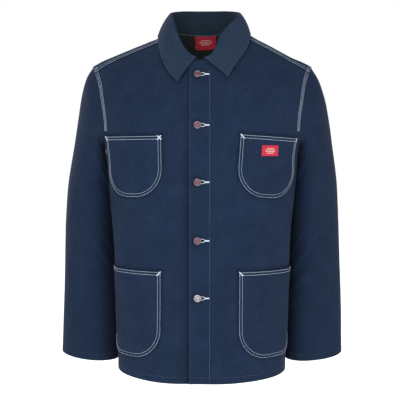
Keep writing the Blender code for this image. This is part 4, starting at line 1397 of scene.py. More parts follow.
def pocket_place(pocket, along, down):
    """Place on the front of a point of a pocket: along its top edge from its inner corner, and down."""
    slant = math.radians(pocket.slant)
    girth = pocket.inner + along * math.cos(slant) + down * math.sin(slant)
    height = pocket.top + along * math.sin(slant) - down * math.cos(slant)
    return front_place(girth, height)


def pocket_gape(pocket, along, down):
    """How far the mouth of a pocket stands off the front."""
    middle = 1 - (2 * along / pocket.width - 1) ** 2
    return MOUTH_GAPE * np.clip(middle, 0, 1) * bell(down, 22)


def on_pocket(pocket, along, down, above=0.0):
    """Points above the outer face of a pocket, with the front's normals."""
    lift = LAID_GAP + POCKET_WALL + pocket_gape(pocket, along, down) + above
    return on_body(pocket_place(pocket, along, down), FRONT, pocket.side, lift)


def pocket_outline(pocket, inset, steps=60):
    """Sides and round bottom of a pocket at a distance inside its edge, as (along, down) points."""
    straight, radius = pocket.height - pocket.radius, pocket.radius - inset
    turns = np.linspace(0, math.pi / 2, steps)
    left, right = inset, pocket.width - inset
    down_left = np.stack([np.full(steps, left), np.linspace(inset, straight, steps)], axis=-1)
    flat = np.linspace(left + radius, right - radius, 12)[1:-1]
    flat = np.stack([flat, np.full(len(flat), straight + radius)], axis=-1)
    bend, below = radius * (1 - np.cos(turns)), straight + radius * np.sin(turns)
    first = np.stack([left + bend, below], axis=-1)
    second = np.stack([right - bend, below], axis=-1)[::-1]
    up_right = np.stack([np.full(steps, right), np.linspace(straight, inset, steps)], axis=-1)
    return np.concatenate([down_left, first[1:], flat, second, up_right[1:]])


def edge_distance(pocket, along, down):
    """Distance inside the edge of a pocket."""
    straight = pocket.height - pocket.radius
    sides = np.minimum(along, pocket.width - along)
    corner = np.minimum(sides - pocket.radius, 0)
    rounded = pocket.radius - np.hypot(corner, np.maximum(down - straight, 0))
    low = np.where(down > straight, rounded, sides)
    return np.minimum(low, down)


def patch_pocket(pocket):
    """One patch pocket, with its turned edges and the pull of its rows of stitches."""
    straight = pocket.height - pocket.radius
    turns = np.linspace(0, math.pi / 2, 27)[1:]
    down = np.concatenate(
        [straight * shares(34, (0, 0.08, 4)), straight + pocket.radius * np.sin(turns)]
    )
    half = np.concatenate(
        [np.full(35, pocket.width / 2), pocket.width / 2 - pocket.radius * (1 - np.cos(turns))]
    )
    across = 2 * shares(54, (0, 0.06, 3), (1, 0.06, 3)) - 1
    along = pocket.width / 2 + half[:, None] * across[None]
    down = np.repeat(down[:, None], len(across), axis=1)
    inset = edge_distance(pocket, along, down)
    pull = groove(inset - 2.2, 1.1, 0.22) + groove(inset - 7.7, 1.1, 0.22)
    run = along + 1.3 * down
    pull += 0.12 * np.sin(run / 1.7 + 2 * np.sin(run / 19)) * bell(inset - 5, 5)
    puff = 0.5 * ease((inset - 8) / 14) * np.sin(along / 21 + 1) * np.sin(down / 27 + 0.5)
    outer, normals = on_pocket(pocket, along, down, pull + np.abs(puff))
    wall = POCKET_WALL + pull * 0.5
    inner = outer - normals * np.maximum(wall, 0.9)[..., None]
    return shell(
        f"{pocket.name}_cloth", outer, inner, [material("denim"), material("denim")], free="btlr"
    )


def label_place(pocket, aside, below):
    """Where a point of the label lies on its pocket, as the label is sewn on level."""
    middle, top = POCKET_LABEL_PLACE
    slant = math.radians(pocket.slant + 0.6)
    along = middle + aside * math.cos(slant) - below * math.sin(slant)
    return along, top + aside * math.sin(slant) + below * math.cos(slant)


def pocket_label(pocket):
    """The plain label on a chest pocket, folded under at its edges."""
    width, height = POCKET_LABEL
    across, up = shares(26, (0, 0.05, 2), (1, 0.05, 2)), shares(15, (0, 0.07, 2), (1, 0.07, 2))
    aside, below = np.meshgrid(width * (across - 0.5), height * up)
    inset = np.minimum(width / 2 - np.abs(aside), np.minimum(below, height - below))
    pull = 0.3 * ease(inset / 2.5) - 0.12 + groove(inset - 1.5, 0.6, 0.1)
    along, down = label_place(pocket, aside, below)
    outer, normals = on_pocket(pocket, along, down, LAID_GAP + LABEL_WALL + pull)
    inner = outer - normals * LABEL_WALL
    return shell("label_pocket_cloth", outer, inner, [material("label")] * 2, free="btlr")


@lru_cache(maxsize=None)
def neck_label_face():
    """Front points of the label inside the neck, from its top row down, and the way they face."""
    _, inner, u, high = lining_layers()
    grid = inner[::-1]
    columns = np.interp(np.linspace(*NECK_LABEL_SIDES, 26), np.append(-u[:0:-1], u),
                        np.arange(grid.shape[1]))
    rows = np.interp(np.linspace(0, NECK_LABEL_DROP, 18), 1 - high[::-1], np.arange(len(high)))
    columns, rows = np.meshgrid(columns, rows)
    points = between(grid, rows, columns)
    inward = unit(np.cross(np.gradient(points, axis=0), np.gradient(points, axis=1)))
    inward *= -np.sign(inward[..., 1:2])
    return points + inward * (LAID_GAP + LABEL_WALL), inward


def neck_label():
    """The plain label inside the back of the neck."""
    face, inward = neck_label_face()
    return shell("label_neck_cloth", face, face - inward * LABEL_WALL, [material("label")] * 2,
                 free="btlr")


# ---- buttons


def button_frame(height):
    """The form's point at a button, with directions across, up and out of the cloth."""
    place = form_place(np.array([BUTTON_LINE]), np.array([float(height)]), FRONT)
    point, out = form_points(place, FRONT)[0], form_normals(place, FRONT)[0]
    across = unit(np.array([1.0, 0, 0]) - out * out[0])
    return point, across, np.cross(out, across), out


def button_base(height):
    """How far the buttonhole front stands off the form at a button."""
    point = button_frame(height)[0]
    return float(body_lift(point[None], FRONT, 1)[0])


def button(number, height):
    """A tack button: a rolled rim, a sunk ring with fine flutes, and a low dome with a dimple."""
    under = button_base(height) + 0.35
    radius, rise = np.array(BUTTON_PROFILE).T
    radius = radius * CAP_SHARE
    turns = 2 * math.pi * np.arange(BUTTON_STEPS) / BUTTON_STEPS
    point, across, up, out = button_frame(height)
    fluted = bell(radius - 5.2, 0.45) * (rise > 0.8)
    lift = under + rise[:, None] + 0.1 * fluted[:, None] * np.cos(24 * turns)[None]
    ring = radius[:, None, None] * (
        np.cos(turns)[None, :, None] * across + np.sin(turns)[None, :, None] * up
    )
    points = point + ring + lift[..., None] * out
    rows = len(radius)
    index = np.arange(rows * BUTTON_STEPS).reshape(rows, BUTTON_STEPS)
    index[0], index[-1] = index[0, 0], index[-1, 0]
    index = np.concatenate([index, index[:, :1]], axis=1)
    faces = np.stack([index[:-1, :-1], index[:-1, 1:], index[1:, 1:], index[1:, :-1]], -1)
    mesh = bpy.data.meshes.new(f"button_{number}_cap")
    body = bmesh.new()
    verts = [body.verts.new(Vector(p) * MM) for p in points.reshape(-1, 3)]
    for quad in faces.reshape(-1, 4):
        corners = list(dict.fromkeys(int(k) for k in quad))
        body.faces.new([verts[k] for k in corners])
    bmesh.ops.delete(body, geom=[v for v in body.verts if not v.link_faces], context="VERTS")
    bmesh.ops.recalc_face_normals(body, faces=body.faces)
    body.to_mesh(mesh)
    body.free()
    mesh.shade_smooth()
    lowest = number == len(BUTTON_HEIGHTS)
    mesh.materials.append(material("silver" if lowest else "copper"))
    mesh.materials.append(material("silver" if lowest else "rim"))
    middle, axis = Vector(point), Vector(out)
    for face in mesh.polygons:
        aside = (face.center / MM - middle).cross(axis).length
        face.material_index = int(aside > RIM_FROM * CAP_SHARE)
    return put(f"button_{number}_cap", mesh)


HOLE_EYE = 3.4  # radius of the keyhole's eye, round the shank
HOLE_OPEN = 2.6  # half the slit's width at the eye
HOLE_SHUT = 15.0  # from the eye, where the slit closes
HOLE_END = 24.0  # from the eye, where the sewing ends


def hole_edge(step):
    """Half the width of the buttonhole at a distance from its eye."""
    closing = np.clip((step - 5) / (HOLE_SHUT - 5), 0, 1)
    return np.maximum(HOLE_OPEN * np.sqrt(1 - closing**3), 0.12)


def cut_buttonholes(cloth):
    """Cuts the keyholes through the buttonhole front."""
    body = bmesh.new()
    for height in BUTTON_HEIGHTS:
        point, across, up, out = button_frame(height)
        base = button_base(height)
        meet = math.asin(HOLE_OPEN / HOLE_EYE)
        angles = np.linspace(meet, 2 * math.pi - meet, 15)
        steps = np.linspace(HOLE_EYE * math.cos(meet), HOLE_SHUT + 2, 9)[1:]
        outline = [(HOLE_EYE * math.cos(a), HOLE_EYE * math.sin(a)) for a in angles]
        outline += [(s, -float(hole_edge(s))) for s in steps]
        outline += [(s, float(hole_edge(s))) for s in steps[::-1]]
        low, top = (
            [
                body.verts.new(Vector(point + across * x + up * y + out * (base + rise)) * MM)
                for x, y in outline
            ]
            for rise in (-3.6, 4.0)
        )
        body.faces.new(low[::-1])
        body.faces.new(top)
        for k in range(len(outline)):
            m = (k + 1) % len(outline)
            body.faces.new([low[k], low[m], top[m], top[k]])
    bmesh.ops.recalc_face_normals(body, faces=body.faces)
    mesh = bpy.data.meshes.new("keyholes")
    body.to_mesh(mesh)
    body.free()
    mesh.materials.append(material("denim"))
    cutter = put("keyholes", mesh)
    cut = cloth.modifiers.new("keyholes", "BOOLEAN")
    cut.object, cut.operation, cut.solver = cutter, "DIFFERENCE", "EXACT"
    apply_modifiers(cloth)
    bpy.data.objects.remove(cutter, do_unlink=True)


def apply_modifiers(thing):
    """Turns a piece with live modifiers into a plain mesh."""
    bpy.context.view_layer.update()
    graph = bpy.context.evaluated_depsgraph_get()
    made = bpy.data.meshes.new_from_object(thing.evaluated_get(graph))
    thing.modifiers.clear()
    old, thing.data = thing.data, made
    made.name = thing.name
    bpy.data.meshes.remove(old)


# ---- sewing


SEWING_INPUTS = dict.fromkeys(
    ("Pitch", "Stitch Length", "Stitch Width", "Stitch Rise", "Turn", "Jitter"), "NodeSocketFloat"
)
SEWING_INPUTS.update({"Seed": "NodeSocketInt", "Thread": "NodeSocketMaterial"})


@lru_cache(maxsize=None)
def sewing_tree():
    """Lays stitches along chains of points, each turned to the chain and to its way out."""
    tree = bpy.data.node_groups.new("sewing_rows", "GeometryNodeTree")
    tree.is_modifier = True
    tree.interface.new_socket("Geometry", in_out="INPUT", socket_type="NodeSocketGeometry")
    for name, kind in SEWING_INPUTS.items():
        tree.interface.new_socket(name, in_out="INPUT", socket_type=kind)
    tree.interface.new_socket("Geometry", in_out="OUTPUT", socket_type="NodeSocketGeometry")
    given = tree.nodes.new("NodeGroupInput").outputs

    def node(kind, inputs=(), out=0, **settings):
        return add(tree, kind, inputs, **settings).outputs[out]

    curve = node("GeometryNodeMeshToCurve", {"Mesh": given["Geometry"]})
    laid = node(
        "GeometryNodeResampleCurve", {"Curve": curve, "Length": given["Pitch"]}, mode="LENGTH"
    )
    out = node("GeometryNodeInputNamedAttribute", {"Name": "out"}, data_type="FLOAT_VECTOR")
    facing = node(
        "FunctionNodeAxesToRotation",
        {"Primary Axis": out, "Secondary Axis": node("GeometryNodeInputTangent")},
        primary_axis="Z", secondary_axis="X",
    )
    least, most = (
        maths(tree, operation, given["Turn"], given["Jitter"]) for operation in ("SUBTRACT", "ADD")
    )
    turn = node(
        "FunctionNodeRandomValue", {"Min": least, "Max": most, "Seed": given["Seed"]}, 1,
        data_type="FLOAT",
    )
    turned = node(
        "FunctionNodeRotateRotation",
        {"Rotation": facing, "Rotate By": node("ShaderNodeCombineXYZ", {"Z": turn})},
        rotation_space="LOCAL",
    )
    bead = node("GeometryNodeMeshUVSphere", {"Segments": 6, "Rings": 4, "Radius": 0.5})
    size = node(
        "ShaderNodeCombineXYZ",
        {"X": given["Stitch Length"], "Y": given["Stitch Width"], "Z": given["Stitch Rise"]},
    )
    stitch = node("GeometryNodeTransform", {"Geometry": bead, "Scale": size})
    rounded = node("GeometryNodeSetShadeSmooth", {"Geometry": stitch})
    placed = node(
        "GeometryNodeInstanceOnPoints", {"Points": laid, "Instance": rounded, "Rotation": turned}
    )
    real = node("GeometryNodeRealizeInstances", {"Geometry": placed})
    coloured = node("GeometryNodeSetMaterial", {"Geometry": real, "Material": given["Thread"]})
    add(tree, "NodeGroupOutput", {"Geometry": coloured})
    return tree


def sew(name, chains, style, finish_name, seed=1):
    """Stitches along chains, each a pair of points and outward directions."""
    points = np.concatenate([line for line, _ in chains])
    outs = np.concatenate([out for _, out in chains])
    edges, start = [], 0
    for line, _ in chains:
        edges += [(start + k, start + k + 1) for k in range(len(line) - 1)]
        start += len(line)
    mesh = bpy.data.meshes.new(name)
    mesh.from_pydata((points * MM).tolist(), edges, [])
    layer = mesh.attributes.new("out", "FLOAT_VECTOR", "POINT")
    layer.data.foreach_set("vector", outs.astype(np.float32).reshape(-1))
    thing = put(name, mesh)
    sewn = thing.modifiers.new("sewing", "NODES")
    sewn.node_group = sewing_tree()
    scale = bpy.context.scene.jacket_sewing.thread_scale
    values = {
        "Pitch": style.pitch * MM,
        "Stitch Length": style.length * MM,
        "Stitch Width": style.width * MM * scale,
        "Stitch Rise": style.rise * MM * scale,
        "Turn": math.radians(style.turn),
        "Jitter": math.radians(style.jitter),
        "Seed": seed,
        "Thread": material(finish_name),
    }
    for item in sewing_tree().interface.items_tree:
        if item.in_out == "INPUT" and item.name in values:
            sewn[item.identifier] = values[item.name]
    apply_modifiers(thing)
    return dress(thing, "denim")


def straight_row(across, heights):
    """An upright row of stitches on the buttonhole front, at a distance from the centre line."""
    places = form_place(np.full_like(heights, across), heights, FRONT)
    return on_body(places, FRONT, 1, ROW_ABOVE)


def hem_row(side, hand, start=0.0):
    """The row of stitches along half the hem."""
    turns = np.linspace(start, math.pi / 2 - 0.01, 160)
    heights = HEM - HEM_DIP * np.cos(turns) ** 2 + HEM_BAND
    places = form_place(half_width(heights) * np.sin(turns), heights, side)
    return on_body(places, side, hand, ROW_ABOVE)


def armhole_row(side, hand, inset):
    """A row of stitches on the body beside the armhole, on the front or the back."""
    angles = np.linspace(0.02, math.pi - 0.03, 150)
    if side == BACK:
        angles = 2 * math.pi - angles
    seam = armhole_points(angles)
    normals = form_normals(form_place(seam[:, 0], seam[:, 2], side), side)
    ahead = unit(np.gradient(seam, axis=0))
    inward = unit(np.cross(normals, ahead))
    inward *= -np.sign((inward * (seam - seam.mean(axis=0) + [60, 0, 0])).sum(axis=1, keepdims=True))
    places = nearest_place(seam + inward * inset, side)
    above = np.full(len(seam), ROW_ABOVE)
    if side == FRONT:
        points = form_points(places, side)
        reach = STRIP_REACH * (1 - STRIP_NARROWS)
        above = above + STRIP_RISE * ease((reach + 2 + points[:, 1]) / 5)
    return on_body(places, side, hand, above)


def shoulder_row(forward, hand):
    """A row of stitches on the lap over the shoulder."""
    share = np.linspace(0.04, 0.975, 120)
    places = strip_place(share, forward)
    return on_body(places, FRONT, hand, strip_above(forward) + ROW_ABOVE)


def side_row(hand, inset):
    """A row of stitches on the back beside the side seam."""
    heights = np.linspace(HEM + 4, ARMPIT - 8, 200)
    places = form_place(half_width(heights), heights, BACK)
    edge = form_points(places, BACK)
    normals = form_normals(places, BACK)
    inward = unit(np.cross(normals, np.gradient(edge, axis=0)))
    inward *= np.sign(inward[:, 1:2])
    return on_body(nearest_place(edge + inward * inset, BACK), BACK, hand, ROW_ABOVE)


def sleeve_row(hand, rows, columns):
    """A row of stitches on a sleeve, at fractions of its rows and columns."""
    outer, _, normals = sleeve_layers(hand)
    outer, normals = [np.concatenate([g, g[:, :1]], axis=1) for g in (outer, normals)]
    out = unit(between(normals, rows, columns))
    return between(outer, rows, columns) + out * ROW_ABOVE, out


def collar_row(inset):
    """The row of stitches just inside the edge of the collar's leaf."""
    outer, inner, normals, _ = collar_layers()
    rows, columns = outer.shape[:2]
    from_edge = lengths_left(outer, 1)
    from_start, from_end = lengths(outer, 0), lengths_left(outer, 0)
    fold = int(columns * 0.62)
    column_at = np.array([np.interp(-inset, -from_edge[r], np.arange(columns)) for r in range(rows)])
    mid = columns - 6
    first = np.interp(inset, from_start[:, mid], np.arange(rows))
    last = rows - 1 - np.interp(inset, from_end[::-1, mid], np.arange(rows))
    along = np.linspace(first, last, 400)
    edge_columns = np.interp(along, np.arange(rows), column_at)
    up = np.linspace(fold, edge_columns[0], 40)[:-1]
    down = np.linspace(edge_columns[-1], fold, 40)[1:]
    all_rows = np.concatenate([np.full(39, first), along, np.full(39, last)])
    all_columns = np.concatenate([up, edge_columns, down])
    sign = np.sign((outer - inner)[rows // 2, -4] @ normals[rows // 2, -4])
    out = unit(between(normals, all_rows, all_columns)) * sign
    return between(outer, all_rows, all_columns) + out * 0.1, out


def stand_row():
    """The row of stitches where the stand meets the lining, inside the neck."""
    outer, inner, _, _ = collar_layers()
    rows = np.linspace(0.22, 0.80, 200) * (len(outer) - 1)
    columns = np.full(200, 0.2)
    out = unit(between(outer, rows, columns) - between(inner, rows, columns))
    return between(outer, rows, columns) + out * 0.5 - [0, 0, 1.2], out


def pocket_rows(pocket):
    """The double rows round a pocket, and those across its mouth."""
    sides, mouth = [], []
    sewing = bpy.context.scene.jacket_sewing
    first, second = sewing.row_inset / MM, (sewing.row_inset + sewing.row_spacing) / MM
    for inset in (first, second):
        outline = pocket_outline(pocket, inset)
        sides.append(on_pocket(pocket, outline[:, 0], outline[:, 1], ROW_ABOVE))
        along = np.linspace(first, pocket.width - first, 90)
        mouth.append(on_pocket(pocket, along, np.full_like(along, inset), ROW_ABOVE))
    return sides, mouth


def pocket_tacks(pocket):
    """Dense tacks at the top corners of a pocket."""
    step = np.linspace(0.6, 8.8, 14)
    chains = [on_pocket(pocket, 0.4 + step, step, 0.4)]
    if pocket.name == "pocket_chest_left":
        chains.append(on_pocket(pocket, pocket.width - 2.2 - 0.12 * step, step, 0.4))
    else:
        chains.append(on_pocket(pocket, pocket.width - 0.4 - step, step, 0.3))
    if pocket.name == "pocket_chest_right":
        chains.append(on_pocket(pocket, 9.2 - step, step, 0.55))
    return chains


def buttonhole_rows(height):
    """Chains along both lips of a buttonhole, and along the bar at its end."""
    point, across, up, _ = button_frame(height)
    steps = np.linspace(HOLE_EYE, HOLE_END, 60)
    aside = hole_edge(steps) + 0.7
    chains = [point + across * steps[:, None] + up * (lip * aside)[:, None] for lip in (-1, 1)]
    radius = HOLE_EYE + 0.8
    meet = math.asin((HOLE_OPEN + 0.6) / radius)
    angles = np.linspace(meet, 2 * math.pi - meet, 40)[:, None]
    chains.append(point + radius * (across * np.cos(angles) + up * np.sin(angles)))
    places = nearest_place(np.concatenate(chains), FRONT)
    points, normals = on_body(places, FRONT, 1, 0.3)
    ends = np.cumsum([len(line) for line in chains])[:-1]
    return list(zip(np.split(points, ends), np.split(normals, ends)))


def buttonhole_bar(height):
    """The thick bar that closes the end of a buttonhole."""
    point, across, _, _ = button_frame(height)
    line = point + across * np.linspace(HOLE_SHUT - 0.4, HOLE_END, 20)[:, None]
    return on_body(nearest_place(line, FRONT), FRONT, 1, 0.55)


def label_bars(rows, reach, place):
    """Chains of satin stitches for a few plain bars on a label."""
    chains = []
    for down, share in rows:
        along = np.linspace(-share / 2, share / 2, 24) * reach
        chains.append(place(along, np.full_like(along, down)))
    return chains


# ---- settings


def colour_setting(name, about, default):
    """A setting that is a colour."""
    return bpy.props.FloatVectorProperty(
        name=name, description=about, subtype="COLOR", size=3, default=default, min=0, max=1
    )


def length_setting(name, about, default, precision=2):
    """A setting that is a length in metres."""
    return bpy.props.FloatProperty(
        name=name, description=about, default=default, unit="LENGTH", precision=precision
    )


def number_setting(name, about, default, **limits):
    """A setting that is a plain number."""
    return bpy.props.FloatProperty(name=name, description=about, default=default, **limits)


class JacketCloth(bpy.types.PropertyGroup):
    crease_strength: number_setting(
        "Creases", "Strength of the hand-placed creases", 1.4, min=0, max=3
    )
    twill_pitch: length_setting("Twill pitch", "Distance between the ribs of the twill", 0.0013, 5)
    denim_colour: colour_setting("Denim", "Colour of the warp", (0.0056, 0.0136, 0.0342))
    denim_pale: colour_setting(
        "Denim flecks", "Colour of the palest flecks", (0.0140, 0.0290, 0.0640)
    )
    collar_colour: colour_setting("Collar", "Colour of the collar's warp", (0.0104, 0.0206, 0.0415))
    collar_pale: colour_setting(
        "Collar flecks", "Colour of the collar's palest flecks", (0.0240, 0.0425, 0.0785)
    )
    lining_colour: colour_setting("Lining", "Colour of the lining", (0.010, 0.015, 0.017))


class JacketSewing(bpy.types.PropertyGroup):
    thread_scale: number_setting("Thread", "Thickness of the threads", 1.0, min=0.5, max=2)
    row_inset: length_setting("Row inset", "From an edge to the first row", 0.0022, 4)
    row_spacing: length_setting("Row spacing", "Between the rows of a double row", 0.0055, 4)
    white_thread: colour_setting(
        "White thread", "Colour of the contrast thread", (0.70, 0.82, 0.97)
    )
    worn_thread: colour_setting(
        "Worn thread", "Colour of the thin, dulled thread", (0.32, 0.38, 0.45)
    )
    tone_thread: colour_setting("Navy thread", "Colour of the quiet thread", (0.021, 0.037, 0.066))


class JacketTrim(bpy.types.PropertyGroup):
    copper_colour: colour_setting("Copper", "Colour of the buttons", (0.140, 0.076, 0.092))
    rim_colour: colour_setting("Rim", "Colour of the buttons' rubbed rims", (0.200, 0.165, 0.205))
    silver_colour: colour_setting(
        "Silver", "Colour of the lowest, rubbed button", (0.46, 0.43, 0.46)
    )
    label_colour: colour_setting("Label", "Colour of the woven labels", (0.66, 0.020, 0.066))
    cream_thread: colour_setting("Cream thread", "Colour of the labels' bars", (0.72, 0.52, 0.42))


class JacketStage(bpy.types.PropertyGroup):
    camera_place: bpy.props.FloatVectorProperty(
        name="Camera", description="Where the camera stands", subtype="TRANSLATION", size=3,
        default=(-0.0043, -2.1, -0.185),
    )
    camera_tilt: number_setting(
        "Tilt", "How far the camera looks down", math.radians(4.7), subtype="ANGLE"
    )
    camera_lens: number_setting("Lens", "Focal length on a 36 mm sensor", 87.9)
    floor_height: length_setting("Floor", "Height of the floor under the hanging jacket", -1.45)
    sky_strength: number_setting("Sky", "Light from the white surroundings", 0.5, min=0)
    key_power: number_setting("Key light", "Power of the large soft light in front", 62, min=0)


# ---- operators

FLOOR_REACH = 9.0
LIT_PLACE = (0, 0, -0.36)  # the middle of the jacket, which the lights face


class JACKET_OT_fronts(bpy.types.Operator):
    """Lay the two fronts and cut the buttonholes"""

    bl_idname = "jacket.fronts"
    bl_label = "Fronts"

    def execute(self, context):
        left = front_panel("front_left_cloth", 1, BUTTONHOLE_EDGE)
        cut_buttonholes(left)
        right = front_panel("front_right_cloth", -1, BUTTON_EDGE)
        for thing, node in ((left, "front_left"), (right, "front_right")):
            dress(thing, "denim", node)
        return {"FINISHED"}


class JACKET_OT_back(bpy.types.Operator):
    """Lay the back, its laps over the shoulders and its lining"""

    bl_idname = "jacket.back"
    bl_label = "Back and lining"

    def execute(self, context):
        back = dress(back_panel(), "denim", "back")
        for word, hand in HANDS:
            outer, inner = shoulder_strip(hand)
            lap_piece = shell(
                f"shoulder_lap_{word}", outer, inner, [material("denim")] * 2, free="t"
            )
            dress(lap_piece, "denim")
        outer, inner, _, _ = lining_layers()
        lined = shell("lining_back_cloth", outer, inner, [material("lining")] * 2, free="b")
        dress(lined, "lining", "lining_back")
        return {"FINISHED"}


class JACKET_OT_sleeves(bpy.types.Operator):
    """Lay the two sleeves"""

    bl_idname = "jacket.sleeves"
    bl_label = "Sleeves"

    def execute(self, context):
        for word, hand in HANDS:
            thing = dress(sleeve(f"sleeve_{word}_cloth", hand), "denim", f"sleeve_{word}")
        return {"FINISHED"}


class JACKET_OT_collar(bpy.types.Operator):
    """Lay the collar"""

    bl_idname = "jacket.collar"
    bl_label = "Collar"

    def execute(self, context):
        outer, inner, _, stand = collar_layers()
        # the stand's faces on one side take the darker copy of the denim, as painted shade
        thing = shell("collar_cloth", outer, inner, [material("collar"), material("stand")],
                      free="btr", facing=np.zeros_like(stand), front_facing=stand)
        dress(thing, "denim", "collar")
        return {"FINISHED"}


class JACKET_OT_pockets(bpy.types.Operator):
    """Lay the four patch pockets"""

    bl_idname = "jacket.pockets"
    bl_label = "Pockets"

    def execute(self, context):
        for pocket in POCKETS:
            thing = dress(patch_pocket(pocket), "denim", pocket.name)
        return {"FINISHED"}


class JACKET_OT_labels(bpy.types.Operator):
    """Lay the two plain labels with their bars"""

    bl_idname = "jacket.labels"
    bl_label = "Labels"

    def execute(self, context):
        chest = POCKETS[0]
        tag = dress(pocket_label(chest), "red_label", "label_pocket")
        face, inward = neck_label_face()
        neck = dress(neck_label(), "red_label", "label_neck")

        def on_tag(along, down):
            along, down = label_place(chest, along, down)
            return on_pocket(chest, along, down, LAID_GAP + LABEL_WALL + 0.3)

        def on_neck(along, down):
            rows = np.interp(down, lengths(face, 0)[:, 12], np.arange(len(face)))
            run = lengths(face, 1)[9]
            columns = np.interp(run[-1] / 2 + along, run, np.arange(face.shape[1]))
            out = unit(between(inward, rows, columns))
            return between(face, rows, columns) + out * 0.15, out

        tag_bars = sew(
            "label_pocket_bars",
            label_bars(POCKET_BARS, POCKET_LABEL[0], on_tag),
            SATIN, "cream", 3,
        )
        neck_bars = sew(
            "label_neck_bars",
            label_bars(NECK_BARS, NECK_REACH, on_neck),
            SATIN, "cream", 4,
        )
        return {"FINISHED"}


class JACKET_OT_buttons(bpy.types.Operator):
    """Make the five tack buttons"""

    bl_idname = "jacket.buttons"
    bl_label = "Buttons"

    def execute(self, context):
        for number, height in enumerate(BUTTON_HEIGHTS, 1):
            dress(button(number, height), "copper", f"button_{number}")
        return {"FINISHED"}


class JACKET_OT_sewing(bpy.types.Operator):
    """Sew the rows, tacks and buttonholes"""

    bl_idname = "jacket.sewing"
    bl_label = "Sewing"

    def execute(self, context):
        heights = np.linspace(-84, HEM - HEM_DIP + 1, 260)
        sew("stitches_facing", [straight_row(FACING_LINE, heights)], FAINT_ROW, "worn", 11)
        rows = [
            armhole_row(side, hand, inset)
            for side in (FRONT, BACK)
            for hand in (1, -1)
            for inset in ARMHOLE_ROWS
        ]
        sew("stitches_armholes", rows, ROW, "white", 12)
        shoulders = [shoulder_row(forward, hand) for forward in SHOULDER_ROWS for hand in (1, -1)]
        sew("stitches_shoulders", shoulders, ROW, "white", 13)
        sew("stitches_neck", [stand_row()], FINE_ROW, "worn", 15)
        sides = [side_row(hand, inset) for hand in (1, -1) for inset in SIDE_ROWS]
        sew("stitches_sides", sides, ROW, "white", 14)
        for number, pocket in enumerate(POCKETS):
            sides, mouth = pocket_rows(pocket)
            sew(f"stitches_{pocket.name}", sides, ROW, "white", 20 + number)
            sew(f"mouth_{pocket.name}", mouth, BOLD_ROW, "white", 25 + number)
            sew(f"tacks_{pocket.name}", pocket_tacks(pocket), TACK, "white", 30 + number)
        holes = [chain for height in BUTTON_HEIGHTS for chain in buttonhole_rows(height)]
        sew("buttonhole_whips", holes, WHIP, "white", 40)
        bars = [buttonhole_bar(height) for height in BUTTON_HEIGHTS]
        sew("buttonhole_bars", bars, TACK, "white", 41)
        quiet = [
            hem_row(FRONT, 1, -0.14), hem_row(FRONT, -1, 0.17), hem_row(BACK, 1), hem_row(BACK, -1),
            collar_row(COLLAR_ROW), straight_row(EDGE_ROW - BUTTONHOLE_EDGE, heights),
        ]
        outer = sleeve_layers(1)[0]
        up = lengths_left(outer, 0).mean(axis=1)
        cuff_at = np.interp(-CUFF_BAND, -up, np.arange(len(up)))
        round_it = np.linspace(0, SLEEVE_AROUND, 300)
        down_it = np.linspace(3, SLEEVE_ROWS - 2, 400)
        for hand in (1, -1):
            quiet.append(sleeve_row(hand, np.full(300, cuff_at), round_it))
            quiet.append(sleeve_row(hand, down_it, np.full(400, SLEEVE_AROUND * 0.54)))
        sew("stitches_quiet", quiet, FINE_ROW, "tone", 50)
        return {"FINISHED"}


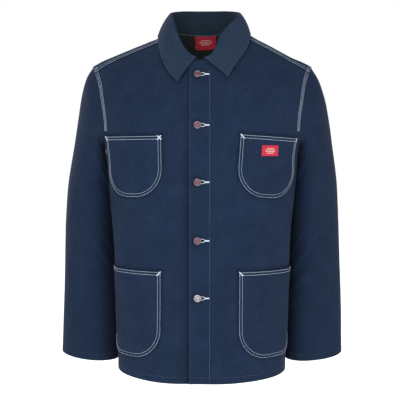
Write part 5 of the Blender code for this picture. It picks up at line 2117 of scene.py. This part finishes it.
class JACKET_OT_stage(bpy.types.Operator):
    """Set the floor, the lights and the camera"""

    bl_idname = "jacket.stage"
    bl_label = "Stage"

    def execute(self, context):
        stage = context.scene.jacket_stage
        floor_mesh = bpy.data.meshes.new("floor")
        square = [(-FLOOR_REACH, -FLOOR_REACH), (FLOOR_REACH, -FLOOR_REACH),
                  (FLOOR_REACH, FLOOR_REACH), (-FLOOR_REACH, FLOOR_REACH)]
        floor_mesh.from_pydata([(x, y, stage.floor_height) for x, y in square], [], [(0, 1, 2, 3)])
        floor = put("floor", floor_mesh)
        white, tree, shader = finish("floor_paint", 0.9)
        speck = add(tree, "ShaderNodeTexNoise", {"Scale": 4.0}).outputs["Fac"]
        paint(tree, shader, speck, (0.90, 0.90, 0.90), (0.93, 0.93, 0.93))
        shader.inputs["Emission Color"].default_value = (1, 1, 1, 1)
        shader.inputs["Emission Strength"].default_value = 0.8
        floor_mesh.materials.append(white)
        world = bpy.data.worlds.new("white_room")
        context.scene.world = world
        world.use_nodes = True
        tree = world.node_tree
        sky = tree.nodes["Background"]
        sky.inputs["Color"].default_value = (1, 1, 1, 1)
        seen = add(tree, "ShaderNodeLightPath").outputs["Is Camera Ray"]
        strength = add(
            tree, "ShaderNodeMapRange", {"Value": seen, "To Min": stage.sky_strength, "To Max": 1.0}
        )
        tree.links.new(strength.outputs[0], sky.inputs["Strength"])
        lights = (
            ("key", (-0.7, -3.0, 1.1), 2.0, stage.key_power),
            ("fill", (1.5, -2.8, 0.1), 2.0, stage.key_power * 0.4),
            ("behind", (-2.7, 1.9, 1.2), 1.2, stage.key_power * 0.6),
        )
        for name, place, size, power in lights:
            lamp = bpy.data.lights.new(name, "AREA")
            lamp.shape, lamp.size, lamp.energy = "DISK", size, power
            light = put(name, lamp)
            light.location = place
            aim = Vector(LIT_PLACE) - Vector(place)
            light.rotation_euler = aim.to_track_quat("-Z", "Y").to_euler()
        lens = bpy.data.cameras.new("camera")
        lens.sensor_width, lens.lens = 36, stage.camera_lens
        lens.clip_start, lens.clip_end = 0.05, 50
        camera = put("camera", lens)
        camera.location = stage.camera_place
        camera.rotation_euler = (math.pi / 2 - stage.camera_tilt, 0, 0)
        context.scene.camera = camera
        context.scene.view_settings.view_transform = "Standard"
        return {"FINISHED"}


class JACKET_PT_pieces(bpy.types.Panel):
    """The jacket's pieces and settings"""

    bl_label = "Denim jacket"
    bl_idname = "JACKET_PT_pieces"
    bl_space_type = "VIEW_3D"
    bl_region_type = "UI"
    bl_category = "Jacket"

    def draw(self, context):
        for operator in OPERATORS:
            self.layout.operator(operator.bl_idname)
        for group in GROUPS:
            box = self.layout.box()
            settings = getattr(context.scene, group)
            for name in settings.__annotations__:
                box.prop(settings, name)


OPERATORS = (
    JACKET_OT_collar,
    JACKET_OT_fronts,
    JACKET_OT_back,
    JACKET_OT_sleeves,
    JACKET_OT_pockets,
    JACKET_OT_labels,
    JACKET_OT_buttons,
    JACKET_OT_sewing,
    JACKET_OT_stage,
)
GROUPS = {
    "jacket_cloth": JacketCloth,
    "jacket_sewing": JacketSewing,
    "jacket_trim": JacketTrim,
    "jacket_stage": JacketStage,
}


def register():
    """Registers the settings, the operators and the panel."""
    for name, group in GROUPS.items():
        bpy.utils.register_class(group)
        setattr(bpy.types.Scene, name, bpy.props.PointerProperty(type=group))
    for thing in (*OPERATORS, JACKET_PT_pieces):
        bpy.utils.register_class(thing)


def unregister():
    """Takes them away again."""
    for thing in (JACKET_PT_pieces, *reversed(OPERATORS)):
        bpy.utils.unregister_class(thing)
    for name, group in GROUPS.items():
        delattr(bpy.types.Scene, name)
        bpy.utils.unregister_class(group)


def corners(box):
    """A box as plain lists of numbers."""
    return [[float(value) for value in corner] for corner in box]


def main():
    """Dresses the jacket, piece by piece."""
    register()
    for operator in OPERATORS:
        group, name = operator.bl_idname.split(".")
        getattr(getattr(bpy.ops, group), name)()


if __name__ == "__main__":
    main()
